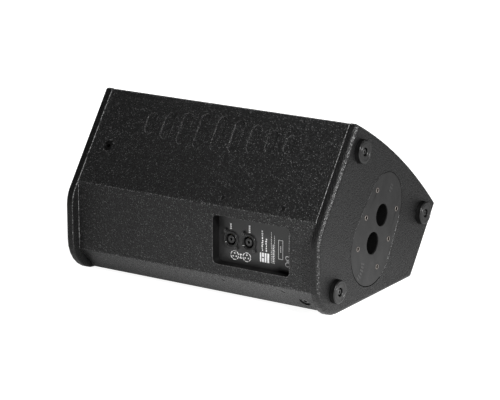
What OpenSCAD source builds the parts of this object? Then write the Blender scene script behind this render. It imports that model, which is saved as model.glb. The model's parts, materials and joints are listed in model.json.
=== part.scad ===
// Stage monitor wedge: a two-way ten-inch loudspeaker in a plywood cabinet.
// It lies on its floor panel. The grille faces -Y and up, the connectors face +Y,
// the end with the pole sockets and the rubber feet faces -X, and +Z is up.
// The origin is under the middle of the bounding box. Millimetres.

/* [Cabinet] */
// Length over both end panels
cab_l = 512; // [508:1:524]
// Thickness of the plywood panels
ply_t = 16; // [15:0.5:16.5]
// Width of the front, from its lower corner to the top edge
front_w = 333.5; // [332:0.5:338]
// Angle of the front above the floor
front_tilt = 35.8; // [35:0.1:37]
// Length of the short wall between the floor and the front
lower_wall = 141.5; // [140:0.5:144]
// Length of the long wall between the front and the ridge
upper_wall = 179; // [177:0.5:181]
// Leg of the bevel between the rear panel and the floor
bevel = 44; // [42:1:46]

/* [End panels] */
// How far the end panels stand behind the rear panel
end_lip = 17; // [14:0.5:20]
// Radius of the large corner behind the ridge
end_corner_r = 57; // [50:1:60]
// Radius of the large corner behind the floor
end_floor_r = 63; // [56:1:66]
// How far the curved front edge bulges past a straight line
front_bulge = 14.3; // [13:0.1:16]
// Radius rolled over the outer edges
end_round_r = 7.5; // [6:0.5:9]

/* [Pole plate and feet] */
// Radius of each pole socket, for a 35 mm pole
pole_r = 18.4; // [18:0.1:18.6]
// Depth of each pole socket from the outer face
pole_depth = 80; // [70:1:82]
// Diameter of a rubber foot
foot_d = 41; // [36:1:44]
// Height of a rubber foot
foot_h = 9; // [7:0.5:12]

/* [Connector recess] */
// Width of the recess in the rear panel
recess_w = 151; // [145:1:154]
// Height of the recess
recess_h = 84; // [80:1:86]
// Depth of the connector plate below the rear face
recess_d = 20; // [18:0.5:22]
// Distance between the two locking sockets
socket_pitch = 35; // [32:0.5:40]

/* [Loudspeakers] */
// Outer radius of the woofer frame
woofer_r = 130.5; // [128:0.5:132]
// Side of the square horn flange
horn_w = 150; // [146:1:152]
// Inner radius of each port tube
port_r = 25; // [22:0.5:25]

/* [Hidden] */
$fn = 64;

// ---- Cross-section of the cabinet, as [y, z] points ----

up_front = [cos(front_tilt), sin(front_tilt)];
inward = [sin(front_tilt), -cos(front_tilt)];

// Small edge radii of the panels
edge_r = 4.5;      // front edges of the long and the short wall and the end panels
inner_edge_r = 2;  // inner front edges of those walls
ridge_r = 5;       // long outer edges between the walls
seam_bevel = 1.2;  // V groove where an end panel meets the walls
arc_steps = 14;    // straight steps along the curved front edge
round_steps = 7;   // steps in each rounded corner
roll_steps = 6;    // steps in the rolled outer edge

// The section is drawn from the front edge of the floor, then centred on the bounding box
function raw_section() =
    let(f = [0, 0], c = f - lower_wall * inward, t = c + front_w * up_front,
        r = t + upper_wall * inward)
    [f, c, t, r, [r[0], bevel], [r[0] - bevel, 0]];

// Unit normal that points out of a clockwise outline, on the edge from a to b
function out_normal(a, b) = let(e = (b - a) / norm(b - a)) [-e[1], e[0]];

// Outline moved inwards by a distance
function inset(pts, by) = let(n = len(pts)) [for (i = [0:n - 1])
    let(a = out_normal(pts[(i + n - 1) % n], pts[i]), b = out_normal(pts[i], pts[(i + 1) % n]))
    pts[i] - by * (a + b) / (1 + a * b)];

// Rounded corner at p, between its neighbours a and b
function corner_arc(a, p, b, r, steps) =
    let(u = (a - p) / norm(a - p), v = (b - p) / norm(b - p),
        half = acos(max(-1, min(1, u * v))) / 2,
        centre = p + (u + v) / norm(u + v) * r / sin(half),
        start = p + u * r / tan(half) - centre, end = p + v * r / tan(half) - centre,
        from = atan2(start[1], start[0]),
        turn = (atan2(end[1], end[0]) - from + 540) % 360 - 180)
    [for (k = [0:steps]) centre + r * [cos(from + turn * k / steps),
                                       sin(from + turn * k / steps)]];

// Outline with each corner rounded to its own radius; radius 0 keeps the point
function rounded(pts, radii, steps = round_steps) = let(n = len(pts)) [for (i = [0:n - 1])
    each radii[i] > 0
        ? corner_arc(pts[(i + n - 1) % n], pts[i], pts[(i + 1) % n], radii[i], steps)
        : [pts[i]]];

// Points between a and b on an arc that bulges to the left of a to b
function bulged(a, b, bulge, steps) =
    let(half = norm(b - a) / 2, r = (half * half + bulge * bulge) / (2 * bulge),
        mid = (a + b) / 2, n = out_normal(a, b), along = (b - a) / norm(b - a),
        spread = asin(half / r))
    [for (k = [1:steps - 1]) let(t = -spread + 2 * spread * k / steps)
        mid + n * (r * cos(t) - r + bulge) + along * r * sin(t)];

// Sharp outline of an end panel and the radius of each of its corners
floor_corner_r = 4;
function end_corners(s) =
    let(back = s[3][0] + end_lip, high = s[2] + inward * (back - s[2][0]) / inward[0])
    concat([s[0], s[1]], bulged(s[1], s[2], front_bulge, arc_steps), [s[2], high, [back, 0]]);
end_radii = concat([floor_corner_r, edge_r], [for (k = [1:arc_steps - 1]) 0],
    [edge_r, end_corner_r, end_floor_r]);

raw_outline = rounded(end_corners(raw_section()), end_radii);
raw_y = [for (p = raw_outline) p[0]];
y_shift = -(min(raw_y) + max(raw_y)) / 2;
x_mid = foot_h / 2;

section = [for (p = raw_section()) p + [y_shift, 0]];
inner = inset(section, ply_t);
p_floor_front = section[0];
p_corner = section[1];
p_top = section[2];
p_ridge = section[3];
p_rear = section[4];
wall_x = cab_l / 2 - ply_t;

// A point of the section: u is measured down the front from the top edge, v into the cabinet
function sec(u, v) = p_top - u * up_front + v * inward;

// ---- Places on the cabinet ----

// Section frame: X along the cabinet, Y up the front, Z out of the front
module at_sec(x, u, v)
    translate([x_mid + x, sec(u, v)[0], sec(u, v)[1]]) rotate([front_tilt, 0, 0]) children();

// End frame: Z out of the end panel; side is -1 at the pole end and 1 at the grip end
module on_end(side, u, v, out = 0)
    at_sec(side * (cab_l / 2 + out), u, v) rotate([0, side * 90, 0]) children();

// Long wall frame: Y into the cabinet along the wall, Z out of the wall
module on_long_wall(x, v) at_sec(x, 0, v) rotate([-90, 0, 0]) children();

// Bevel frame: Y from the rear edge to the floor, Z out of the bevel
module on_bevel(x, s)
    translate([x_mid + x, p_rear[0], p_rear[1]]) rotate([-135, 0, 0])
        translate([0, s, 0]) children();

// Rear frame: Y down, Z out of the rear panel
module on_rear(x, z)
    translate([x_mid + x, p_ridge[0], z]) rotate([-90, 0, 0]) children();

// Section outline pushed along X
module along_x(x0, x1)
    translate([x_mid + x0, 0, 0]) rotate([90, 0, 90]) linear_extrude(x1 - x0) children();

// ---- Shared shapes ----

// Facets of the large round pieces of the woofer and the horn
round_fn = 96;
// How far a cutting shape runs past the solid that it cuts, and how far pieces of one solid
// run into each other
cut = 1;
// Radial play of a screw, a sleeve or a tube in its hole
play = 0.1;

// Ring or disc round Z
module tube(r_out, r_in, z0, z1)
    translate([0, 0, z0]) difference() {
        cylinder(r = r_out, h = z1 - z0);
        if (r_in > 0) translate([0, 0, -cut]) cylinder(r = r_in, h = z1 - z0 + 2 * cut);
    }

// Screw along -Z with its head on z = 0: a low head with a hexagon socket and a plain shank
hex_depth = 1.6;
module screw(head_r, head_h, shank_r, length, hex_r) {
    difference() {
        cylinder(r = head_r, h = head_h);
        translate([0, 0, head_h - hex_depth]) cylinder(r = hex_r, h = hex_depth + cut, $fn = 6);
    }
    translate([0, 0, -length]) cylinder(r = shank_r, h = length + play);
}

// Slot with round ends, long along Y
module slot_2d(length, r) {
    for (s = [-1, 1]) translate([0, s * (length / 2 - r)]) circle(r);
    square([2 * r, length - 2 * r], center = true);
}

// Rectangle with round corners
module round_rect(w, h, r) {
    square([w - 2 * r, h], center = true);
    square([w, h - 2 * r], center = true);
    for (x = [-1, 1], y = [-1, 1]) translate([x * (w / 2 - r), y * (h / 2 - r)]) circle(r);
}

// Egg: arcs round two circles, at 0 and at [dx, 0], joined by their common tangents
egg_steps = 60;
module egg_2d(r1, r2, dx) {
    a = acos((r1 - r2) / dx);
    polygon(concat(
        [for (k = [0:egg_steps]) let(t = a + (360 - 2 * a) * k / egg_steps) r1 * [cos(t), sin(t)]],
        [for (k = [0:egg_steps]) let(t = 2 * a * k / egg_steps - a)
            [dx, 0] + r2 * [cos(t), sin(t)]]));
}

// ---- Cabinet ----

outline = end_corners(section);
ring_n = len(raw_outline);

// One ring of the end panel at height x, moved inwards
function end_ring(x, by) =
    [for (p = rounded(inset(outline, by), [for (r = end_radii) r > 0 ? max(r - by, 0.6) : 0]))
        [x, p[0], p[1]]];
end_rings = concat([[0, seam_bevel], [seam_bevel, 0]], [for (k = [0:roll_steps])
    let(a = 90 * k / roll_steps)
    [ply_t - end_round_r * (1 - sin(a)), end_round_r * (1 - cos(a))]]);

// End panel from its inner face at x = 0, with the rolled edge outside
module end_blank() {
    points = [for (r = end_rings) each end_ring(r[0], r[1])];
    last = len(end_rings) - 1;
    polyhedron(points, concat(
        [[for (i = [0:ring_n - 1]) last * ring_n + i]],
        [[for (i = [ring_n - 1:-1:0]) i]],
        [for (k = [0:last - 1], i = [0:ring_n - 1]) let(j = (i + 1) % ring_n)
            [k * ring_n + i, k * ring_n + j, (k + 1) * ring_n + j, (k + 1) * ring_n + i]]));
}

// Egg-shaped pole plate and what it covers
plate_u = 167;
plate_v = 74.5;
plate_span = 77;
plate_r_small = 56;
plate_r_large = 66.5;
plate_t = 3;
plate_gap = 0.6;
pole_v = [92.9, 144.5];
pole_lean = [3, 7];
cup_wall = 2.5;
pole_rim = 0.8;      // step between the plate and the cup inside it
cup_hole_r = pole_r + cup_wall + 3.5;
plate_screws = [[64.6, 40], [117.6, 46.4], [171.4, 39.6]];
plate_screw_r = 2.4;
plate_screw_l = 18;
plate_head = [5, 0.6];
plate_hex = [2.3, 2];

// Frame of the pole plate: X out along the depth of the cabinet, Y across it, Z out
module on_plate(out = 0) on_end(-1, plate_u, plate_v, out) rotate([0, 0, 180]) children();
module at_plate_screws()
    for (s = plate_screws, side = [-1, 1])
        translate([s[0] - plate_v, side * s[1], 0]) children();

feet = [[34.9, 33.7], [294.9, 35.3], [102.3, 256.3]];
foot_screw_r = 2.6;

module end_panel_bottom() color("#2f2f32") difference() {
    translate([x_mid - wall_x, 0, 0]) mirror([1, 0, 0]) end_blank();
    on_plate() translate([0, 0, -plate_t]) linear_extrude(plate_t + cut)
        egg_2d(plate_r_small + plate_gap, plate_r_large + plate_gap, plate_span);
    on_plate() for (v = pole_v) translate([v - plate_v, 0, -ply_t - cut])
        cylinder(r = cup_hole_r, h = ply_t + 2 * cut);
    on_plate() at_plate_screws() translate([0, 0, -ply_t - cut])
        cylinder(r = plate_screw_r + play, h = ply_t + 2 * cut, $fn = 24);
    for (f = feet) on_end(-1, f[0], f[1]) translate([0, 0, -ply_t - cut])
        cylinder(r = foot_screw_r + play, h = ply_t + 2 * cut, $fn = 24);
}

grip_u = 167;
grip_v = 131;
grip_l = 122;
grip_r = 21;
grip_depth = 50;
grip_wall = 2.5;
grip_gap = 0.5;
grip_flange = 11;
grip_flange_t = 3;
grip_screw_r = 2;
grip_head_r = 3.8;
grip_head_h = 1.8;
grip_screw_l = 15;
grip_hex_r = 1.5;
grip_screw_at = 6.5;
module on_grip() on_end(1, grip_u, grip_v) children();
module at_grip_screws()
    for (y = [-1, 1]) {
        translate([0, y * (grip_l / 2 + grip_screw_at), 0]) children();
        for (x = [-1, 1]) translate([x * (grip_r + grip_screw_at), y * grip_l / 5, 0]) children();
    }

module end_panel_top() color("#2f2f32") difference() {
    translate([x_mid + wall_x, 0, 0]) end_blank();
    on_grip() translate([0, 0, -grip_flange_t]) linear_extrude(grip_flange_t + cut)
        slot_2d(grip_l + 2 * (grip_flange + grip_gap), grip_r + grip_flange + grip_gap);
    on_grip() translate([0, 0, -ply_t - cut]) linear_extrude(ply_t + 2 * cut)
        slot_2d(grip_l + 2 * (grip_wall + grip_gap), grip_r + grip_wall + grip_gap);
    on_grip() at_grip_screws() translate([0, 0, -ply_t - cut])
        cylinder(r = grip_screw_r + play, h = ply_t + 2 * cut, $fn = 24);
}

// Long outer edges, each shared half and half by two mitred walls
edge_steps = 6;
mid_step = edge_steps / 2;
function edge(i) = corner_arc(section[(i + 5) % 6], section[i], section[(i + 1) % 6],
    ridge_r, edge_steps);
function edge_start(i) = [for (k = [0:mid_step]) edge(i)[k]];
function edge_end(i) = [for (k = [mid_step:edge_steps]) edge(i)[k]];

// Level-meter motif sunk into the long wall: bars that step up and down
motif_bars = 9;
motif_pitch = 35;
motif_r = 9.5;
motif_depth = 2.2;
motif_v = 53.5;
motif_x = -3;
motif_low = 30;
motif_rise = 34;
// Rigging point and screw places, from the middle of the cabinet
rig_r = 10;
rig_side = [206, 106];
rig_rear = [-204, 37.5];
block_screw_x = [-54, -172.5];
block_screw_v = 163.5;
block_screw_s = 12.4;
dimple_r = 4;
dimple_depth = 0.8;
block_head_t = 1.2;
block_screw_r = 1.8;
block_screw_l = 22;

module insert_hole() translate([0, 0, -ply_t - cut]) cylinder(r = rig_r, h = ply_t + 2 * cut);
module dimple_hole() {
    translate([0, 0, -dimple_depth - block_head_t])
        cylinder(r = dimple_r, h = dimple_depth + block_head_t + cut, $fn = 24);
    translate([0, 0, -block_screw_l - cut])
        cylinder(r = block_screw_r + play, h = block_screw_l, $fn = 24);
}

module upper_side_panel() color("#29292b") difference() {
    along_x(-wall_x, wall_x) polygon(concat(
        corner_arc(sec(ply_t, 0), p_top, p_ridge, edge_r, round_steps),
        edge_start(3), [inner[3]],
        corner_arc(inner[3], sec(ply_t, 0), p_top, inner_edge_r, round_steps)));
    for (k = [0:motif_bars - 1])
        on_long_wall(motif_x + (k - (motif_bars - 1) / 2) * motif_pitch, motif_v)
            translate([0, 0, -motif_depth]) linear_extrude(motif_depth + cut)
                slot_2d(motif_low + motif_rise * pow(sin(150 * (k + 1) / motif_bars), 2),
                    motif_r);
    on_long_wall(rig_side[0], rig_side[1]) insert_hole();
    for (x = block_screw_x) on_long_wall(x, block_screw_v) dimple_hole();
    at_grille_screws() grille_screw_hole();
}

recess_x = -114;
recess_z = 106;
recess_r = 8;
module rear_panel() color("#333336") difference() {
    along_x(-wall_x, wall_x) polygon(concat(edge_end(3), edge_start(4), [inner[4], inner[3]]));
    on_rear(recess_x, recess_z) translate([0, 0, -ply_t - cut]) linear_extrude(ply_t + 2 * cut)
        round_rect(recess_w, recess_h, recess_r);
}

module bevel_panel() color("#3c3c3f") difference() {
    along_x(-wall_x, wall_x) polygon(concat(edge_end(4), edge_start(5), [inner[5], inner[4]]));
    on_bevel(rig_rear[0], rig_rear[1]) insert_hole();
    for (x = block_screw_x) on_bevel(x, block_screw_s) dimple_hole();
}

module floor_panel() color("#29292b")
    along_x(-wall_x, wall_x) polygon(concat(edge_end(5), edge_start(0), [inner[0], inner[5]]));

module lower_side_panel() color("#29292b") difference() {
    along_x(-wall_x, wall_x) polygon(concat(edge_end(0),
        corner_arc(p_floor_front, p_corner, sec(front_w - ply_t, 0), edge_r, round_steps),
        corner_arc(p_corner, sec(front_w - ply_t, 0), inner[0], inner_edge_r, round_steps),
        [inner[0]]));
    at_grille_screws() grille_screw_hole();
}

// ---- Baffle and its battens ----

baffle_v = 25;
axis_u = front_w / 2;
woofer_x = -76;
horn_x = 150;
woofer_hole_r = woofer_r - 12;
horn_mouth_r = 64;
port_wall = 2;
port_u = [47, front_w - 47];
batten = 15;
batten_gap = 30;
batten_x1 = 100;

// Frame of each loudspeaker: Z out of the front, z = 0 on the face of the baffle
module at_woofer() at_sec(woofer_x, axis_u, baffle_v) children();
module at_horn() at_sec(horn_x, axis_u, baffle_v) children();
module at_ports() for (u = port_u) at_sec(horn_x, u, baffle_v) children();

module baffle() color("#242426") difference() {
    along_x(-wall_x, wall_x) polygon([sec(ply_t, baffle_v), sec(ply_t, baffle_v + ply_t),
        sec(front_w - ply_t, baffle_v + ply_t), sec(front_w - ply_t, baffle_v)]);
    at_woofer() translate([0, 0, -ply_t - cut]) cylinder(r = woofer_hole_r, h = ply_t + 2 * cut);
    at_horn() translate([0, 0, -ply_t - cut]) cylinder(r = horn_mouth_r, h = ply_t + 2 * cut);
    at_ports() translate([0, 0, -ply_t - cut])
        cylinder(r = port_r + port_wall + play, h = ply_t + 2 * cut);
    at_woofer_screws() translate([0, 0, -ply_t - cut])
        cylinder(r = woofer_screw_r + play, h = ply_t + 2 * cut, $fn = 24);
    at_horn_screws() translate([0, 0, -ply_t - cut])
        cylinder(r = horn_screw_r + play, h = ply_t + 2 * cut, $fn = 24);
}

module baffle_battens() color("#c8a878")
    for (u = [ply_t, front_w - ply_t - batten])
        along_x(-wall_x + batten_gap, batten_x1) polygon([sec(u, baffle_v + ply_t),
            sec(u, baffle_v + ply_t + batten), sec(u + batten, baffle_v + ply_t + batten),
            sec(u + batten, baffle_v + ply_t)]);

// Glue blocks behind the screws in the long wall and in the bevel
block_x = [-195, -28];
block_t = [12, 8];
block_v = [149, 169];
block_s = [10, 32];
module corner_blocks() color("#c8a878") difference() {
    union() {
        along_x(block_x[0], block_x[1]) polygon([sec(ply_t, block_v[0]), sec(ply_t, block_v[1]),
            sec(ply_t + block_t[0], block_v[1]), sec(ply_t + block_t[0], block_v[0])]);
        on_bevel(0, 0) translate([block_x[0], block_s[0], -ply_t - block_t[1]])
            cube([block_x[1] - block_x[0], block_s[1] - block_s[0], block_t[1]]);
    }
    for (x = block_screw_x) {
        on_long_wall(x, block_screw_v) dimple_hole();
        on_bevel(x, block_screw_s) dimple_hole();
    }
}

// Painted-over countersunk screws that hold the glue blocks
module block_screw() {
    translate([0, 0, -dimple_depth - block_head_t])
        cylinder(r = dimple_r - play, h = block_head_t, $fn = 24);
    translate([0, 0, -block_screw_l])
        cylinder(r = block_screw_r, h = block_screw_l - cut, $fn = 24);
}
module panel_screws() color("#29292b") for (x = block_screw_x) {
    on_long_wall(x, block_screw_v) block_screw();
    on_bevel(x, block_screw_s) block_screw();
}

// ---- Grille ----

grille_t = 1.5;
grille_clear = 0.5;
grille_drop = 2.5;
grille_return = 19;
foam_t = 6;
foam_gap = 0.2;
foam_edge = 0.8;
grille_half = wall_x - grille_clear;
grille_u0 = ply_t + grille_clear;
grille_u1 = front_w - ply_t - grille_clear;

// Depth of the curved front edge at a place across the front
function arc_v(u) =
    let(half = front_w / 2, r = (half * half + front_bulge * front_bulge) / (2 * front_bulge))
    r - front_bulge - sqrt(r * r - (u - half) * (u - half));
function grille_line(depth, margin) = [for (k = [0:arc_steps])
    let(u = grille_u0 + margin + (grille_u1 - grille_u0 - 2 * margin) * k / arc_steps)
    sec(u, arc_v(u) + grille_drop + depth)];
function reversed(list) = [for (k = [len(list) - 1:-1:0]) list[k]];

// Curved sheet with a folded return along each wall
module grille() color("#1c1c1e") difference() {
    along_x(-grille_half, grille_half) polygon(concat(grille_line(0, 0),
        [sec(grille_u1, grille_return), sec(grille_u1 - grille_t, grille_return)],
        reversed(grille_line(grille_t, grille_t)),
        [sec(grille_u0 + grille_t, grille_return), sec(grille_u0, grille_return)]));
    at_grille_screws() grille_screw_hole();
}

module grille_foam() color("#141414")
    along_x(-grille_half + foam_edge, grille_half - foam_edge) polygon(concat(
        grille_line(grille_t + foam_gap, grille_t + foam_edge),
        reversed(grille_line(grille_t + foam_gap + foam_t, grille_t + foam_edge))));

// Low screws through the returns into the walls; Z points into the cabinet's middle
grille_screw_x = [-180, 0, 180];
grille_screw_r = 1.4;
grille_screw_l = 12;
grille_screw_at = 4.5;
grille_head = [3, 1.2];
grille_hex_r = 1;
module at_grille_screws() for (x = grille_screw_x, side = [0, 1])
    at_sec(x, side == 0 ? grille_u0 + grille_t : grille_u1 - grille_t, grille_return - grille_screw_at)
        rotate([side == 0 ? 90 : -90, 0, 0]) children();
module grille_screw_hole() translate([0, 0, -grille_screw_l - 2 * cut])
    cylinder(r = grille_screw_r + play, h = grille_screw_l + 3 * cut, $fn = 24);
module grille_screws() color("#202022") at_grille_screws()
    screw(grille_head[0], grille_head[1], grille_screw_r, grille_screw_l, grille_hex_r);

// ---- Connectors ----

plate_sheet_t = 2;
frame_t = recess_d - ply_t;
frame_rim = [14, 11];
frame_screw_at = [3.5, 6];
frame_hole_r = 1.6;
frame_head = [3, 2];
socket_x = -81.5;
socket_z = 104.8;
socket_places = [socket_x + socket_pitch / 2, socket_x - socket_pitch / 2];
socket_barrel_r = 12;
socket_slot_r = 10.2;
socket_core_r = 6.6;
socket_core_hole = [2.6, 12];
socket_flange = 1.5;
socket_flange_t = 2.4;
socket_floor = 4;    // thickness of the closed rear end
socket_len = 26;
ear = [10.5, 13.5];
ear_r = 4.2;
socket_screw_r = 1.5;
socket_screw_l = 8;
socket_head = [2.8, 1.8];
socket_hex_r = 1.2;

module on_plate_face() translate([0, 0, -recess_d]) children();
module at_socket(x) on_rear(x, socket_z) on_plate_face() children();
module at_frame_screws() on_rear(recess_x, recess_z) on_plate_face()
    for (x = [-1, 0, 1], y = [-1, 1])
        translate([x * (recess_w / 2 + frame_screw_at[0]), y * (recess_h / 2 + frame_screw_at[1]), 0])
            children();

module connector_frame() color("#1e1e20") difference() {
    on_rear(recess_x, recess_z) on_plate_face() linear_extrude(frame_t) difference() {
        round_rect(recess_w + 2 * frame_rim[0], recess_h + 2 * frame_rim[1], recess_r);
        round_rect(recess_w, recess_h, recess_r);
    }
    at_frame_screws() translate([0, 0, -cut])
        cylinder(r = frame_hole_r, h = frame_t + 2 * cut, $fn = 24);
}

module connector_plate() color("#414143") difference() {
    on_rear(recess_x, recess_z) on_plate_face() translate([0, 0, -plate_sheet_t])
        linear_extrude(plate_sheet_t)
            round_rect(recess_w + 2 * frame_rim[0], recess_h + 2 * frame_rim[1], recess_r);
    for (x = socket_places) at_socket(x) translate([0, 0, -plate_sheet_t - cut]) {
        cylinder(r = socket_barrel_r + 2 * play, h = plate_sheet_t + 2 * cut);
        for (s = [-1, 1]) translate([s * ear[0], -s * ear[1], 0])
            cylinder(r = socket_screw_r + play, h = plate_sheet_t + 2 * cut, $fn = 24);
    }
    at_frame_screws() translate([0, 0, -plate_sheet_t - cut])
        cylinder(r = frame_hole_r, h = plate_sheet_t + 2 * cut, $fn = 24);
}

module connector_plate_screws() color("#8a8a8c") at_frame_screws() {
    translate([0, 0, -plate_sheet_t - frame_head[1]])
        cylinder(r = frame_head[0], h = frame_head[1], $fn = 24);
    translate([0, 0, -plate_sheet_t - frame_head[1] / 2])
        cylinder(r = frame_hole_r - play, h = plate_sheet_t + frame_t, $fn = 24);
}

// Four-pole locking socket: round flange with two diagonal ears, an annular slot round a core
module locking_socket() difference() {
    union() {
        linear_extrude(socket_flange_t) {
            circle(socket_barrel_r + socket_flange);
            for (s = [-1, 1]) rotate([0, 0, atan2(-s * ear[1], s * ear[0])]) {
                translate([norm(ear), 0]) circle(ear_r);
                translate([0, -ear_r]) square([norm(ear), 2 * ear_r]);
            }
        }
        translate([0, 0, -socket_len]) cylinder(r = socket_barrel_r, h = socket_len);
    }
    translate([0, 0, socket_floor - socket_len]) difference() {
        cylinder(r = socket_slot_r, h = socket_len);
        cylinder(r = socket_core_r, h = socket_len - socket_floor + socket_flange_t - 1);
    }
    translate([0, 0, socket_flange_t - socket_core_hole[1]])
        cylinder(r = socket_core_hole[0], h = socket_core_hole[1] + cut);
    for (s = [-1, 1]) translate([s * ear[0], -s * ear[1], -cut])
        cylinder(r = socket_screw_r + play, h = socket_flange_t + 2 * cut, $fn = 24);
}
module input_socket() color("#0c0c0d") at_socket(socket_places[0]) locking_socket();
module link_socket() color("#0c0c0d") at_socket(socket_places[1]) locking_socket();

contact = [1, 3, 14];
module socket_contacts() color("#c9a04a") for (x = socket_places) at_socket(x)
    for (a = [45:90:315]) rotate([0, 0, a])
        translate([socket_core_r + play, -contact[1] / 2, socket_floor + 2 * play - socket_len])
            cube(contact);

module socket_screws() color("#151516") for (x = socket_places) at_socket(x)
    for (s = [-1, 1]) translate([s * ear[0], -s * ear[1], socket_flange_t])
        screw(socket_head[0], socket_head[1], socket_screw_r, socket_screw_l, socket_hex_r);

// ---- Pole plate and sockets ----

module pole_plate() color("#454547") difference() {
    on_plate() translate([0, 0, -plate_t]) linear_extrude(plate_t)
        egg_2d(plate_r_small, plate_r_large, plate_span);
    for (i = [0, 1]) on_plate() translate([pole_v[i] - plate_v, 0, -plate_t - cut])
        cylinder(r = pole_r + pole_rim, h = plate_t + 2 * cut);
    on_plate() at_plate_screws() translate([0, 0, -plate_t - cut])
        cylinder(r = plate_screw_r + play, h = plate_t + 2 * cut, $fn = 24);
}

// How far a cup runs on before it is cut flat, and the size of the block that cuts it
cup_spare = 5;
cup_cut = 80;

// Closed tube that leans towards the rear, cut flat where it meets the plate
module pole_cup(i) on_plate() difference() {
    translate([pole_v[i] - plate_v, 0, 0]) rotate([0, -pole_lean[i], 0])
        tube(pole_r + cup_wall, 0, -pole_depth - cup_wall, cup_spare);
    translate([pole_v[i] - plate_v, 0, 0]) rotate([0, -pole_lean[i], 0])
        translate([0, 0, -pole_depth]) cylinder(r = pole_r, h = pole_depth + 2 * cup_spare);
    translate([pole_v[i] - plate_v, 0, cup_cut / 2 - plate_t]) cube(cup_cut, center = true);
}
module pole_cup_3deg() color("#303032") pole_cup(0);
module pole_cup_7deg() color("#303032") pole_cup(1);

module pole_plate_screws() color("#b8aa9a") on_plate() at_plate_screws()
    difference() {
        union() {
            cylinder(r = plate_head[0], h = plate_head[1], $fn = 32);
            translate([0, 0, -plate_screw_l])
                cylinder(r = plate_screw_r, h = plate_screw_l + plate_head[1] / 2, $fn = 24);
        }
        translate([0, 0, plate_head[1] - plate_hex[1]])
            cylinder(r = plate_hex[0], h = plate_hex[1] + cut, $fn = 6);
    }

// ---- Rubber feet ----

foot_recess_r = 6.8;
foot_recess_h = 4.5;
foot_base = 1;      // step at the base of a foot
foot_chamfer = [1.8, 2];
foot_taper = 0.6;
washer_t = 1.2;
foot_head = [5, 2.6];
foot_screw_l = 20;
foot_hex_r = 2.2;
module foot() difference() {
    rotate_extrude() polygon([[0, 0], [foot_d / 2 - foot_base, 0], [foot_d / 2, foot_base],
        [foot_d / 2 - foot_taper, foot_h - foot_chamfer[1]],
        [foot_d / 2 - foot_taper - foot_chamfer[0], foot_h], [0, foot_h]]);
    translate([0, 0, foot_h - foot_recess_h]) cylinder(r = foot_recess_r, h = foot_h);
    translate([0, 0, -cut]) cylinder(r = foot_screw_r + play, h = foot_h, $fn = 24);
}
module on_foot(i) on_end(-1, feet[i][0], feet[i][1]) children();
module foot_upper() color("#1b1b1c") on_foot(0) foot();
module foot_front() color("#1b1b1c") on_foot(1) foot();
module foot_rear() color("#1b1b1c") on_foot(2) foot();
module foot_washers() color("#9a9a9a") for (i = [0:2]) on_foot(i)
    tube(foot_recess_r - 4 * play, foot_screw_r + play, foot_h - foot_recess_h,
        foot_h - foot_recess_h + washer_t);
module foot_screws() color("#5a5a5a") for (i = [0:2]) on_foot(i)
    translate([0, 0, foot_h - foot_recess_h + washer_t])
        screw(foot_head[0], foot_head[1], foot_screw_r, foot_screw_l, foot_hex_r);

// ---- Rigging inserts: flanged steel sleeves with an M8 thread ----

thread_r = 3.4;
insert_sink = 1.5;
insert_groove = [thread_r + 2.5, rig_r - 2, 0.8];
module rigging_insert() difference() {
    tube(rig_r - 2 * play, thread_r, -ply_t, -insert_sink);
    translate([0, 0, -insert_sink - insert_groove[2]])
        tube(insert_groove[1], insert_groove[0], 0, insert_groove[2] + cut);
}
module rigging_insert_side() color("#222223") on_long_wall(rig_side[0], rig_side[1])
    rigging_insert();
module rigging_insert_rear() color("#222223") on_bevel(rig_rear[0], rig_rear[1])
    rigging_insert();

// ---- Grip in the upper end panel ----

module grip_cup() color("#1a1a1b") difference() {
    union() {
        on_grip() translate([0, 0, -grip_flange_t]) linear_extrude(grip_flange_t)
            slot_2d(grip_l + 2 * grip_flange, grip_r + grip_flange);
        on_grip() translate([0, 0, -grip_depth - grip_wall])
            linear_extrude(grip_depth + grip_wall - cut)
                slot_2d(grip_l + 2 * grip_wall, grip_r + grip_wall);
    }
    on_grip() translate([0, 0, -grip_depth]) linear_extrude(grip_depth + cut)
        slot_2d(grip_l, grip_r);
    on_grip() at_grip_screws() {
        translate([0, 0, -grip_flange_t - cut])
            cylinder(r = grip_screw_r + play, h = grip_flange_t + 2 * cut, $fn = 24);
        translate([0, 0, -grip_head_h])
            cylinder(r = grip_head_r + play, h = grip_head_h + cut, $fn = 24);
    }
}
module grip_screws() color("#161617") on_grip() at_grip_screws()
    translate([0, 0, -grip_head_h])
        screw(grip_head_r, grip_head_h - 2 * play, grip_screw_r, grip_screw_l, grip_hex_r);

// ---- Woofer: z = 0 on the face of the baffle, Z out of the front ----

flange_t = 4;
casting_t = 4;       // thickness of the basket where it meets the magnet
gasket_w = 11;
gasket_t = 4;
glue_w = 7;          // width of the gasket's full-depth outer part
window_n = 6;
window_r = 14;
window_at = [100, -26];
window_l = 60;
cone_r = 100;
surround_r = 8;
neck_r = 33;
neck_z = -34;
coil_r = 31.6;
coil_wall = 0.7;
coil_z = [-84, -72];
winding_t = 0.9;
spider_z = -48;
spider_r = 80;
spider_ledge_r = 75.5;
basket_z = -66;
basket_r = 78;
basket_wall = 2.5;
top_plate_z = -78;
magnet_r = 76;
iron_r = 68;
vent_r = 8;
magnet_z = -98;
back_plate_z = -106;
pole_piece_r = 30.4;
gap_r = 34.8;
woofer_screw_n = 8;
woofer_screw_r = 2.4;
woofer_screw_l = 20;
woofer_head = [4.4, 2];
woofer_hex_r = 1.8;
woofer_screw_ring = woofer_r - 4.5;
land_t = 1;

module woofer_screw_hole() translate([0, 0, -cut])
    cylinder(r = woofer_screw_r + play, h = flange_t + gasket_t + 2 * cut, $fn = 24);
module at_woofer_screws() at_woofer() for (k = [0:woofer_screw_n - 1])
    rotate([0, 0, (k + 0.5) * 360 / woofer_screw_n]) translate([woofer_screw_ring, 0, 0])
        children();

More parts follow.
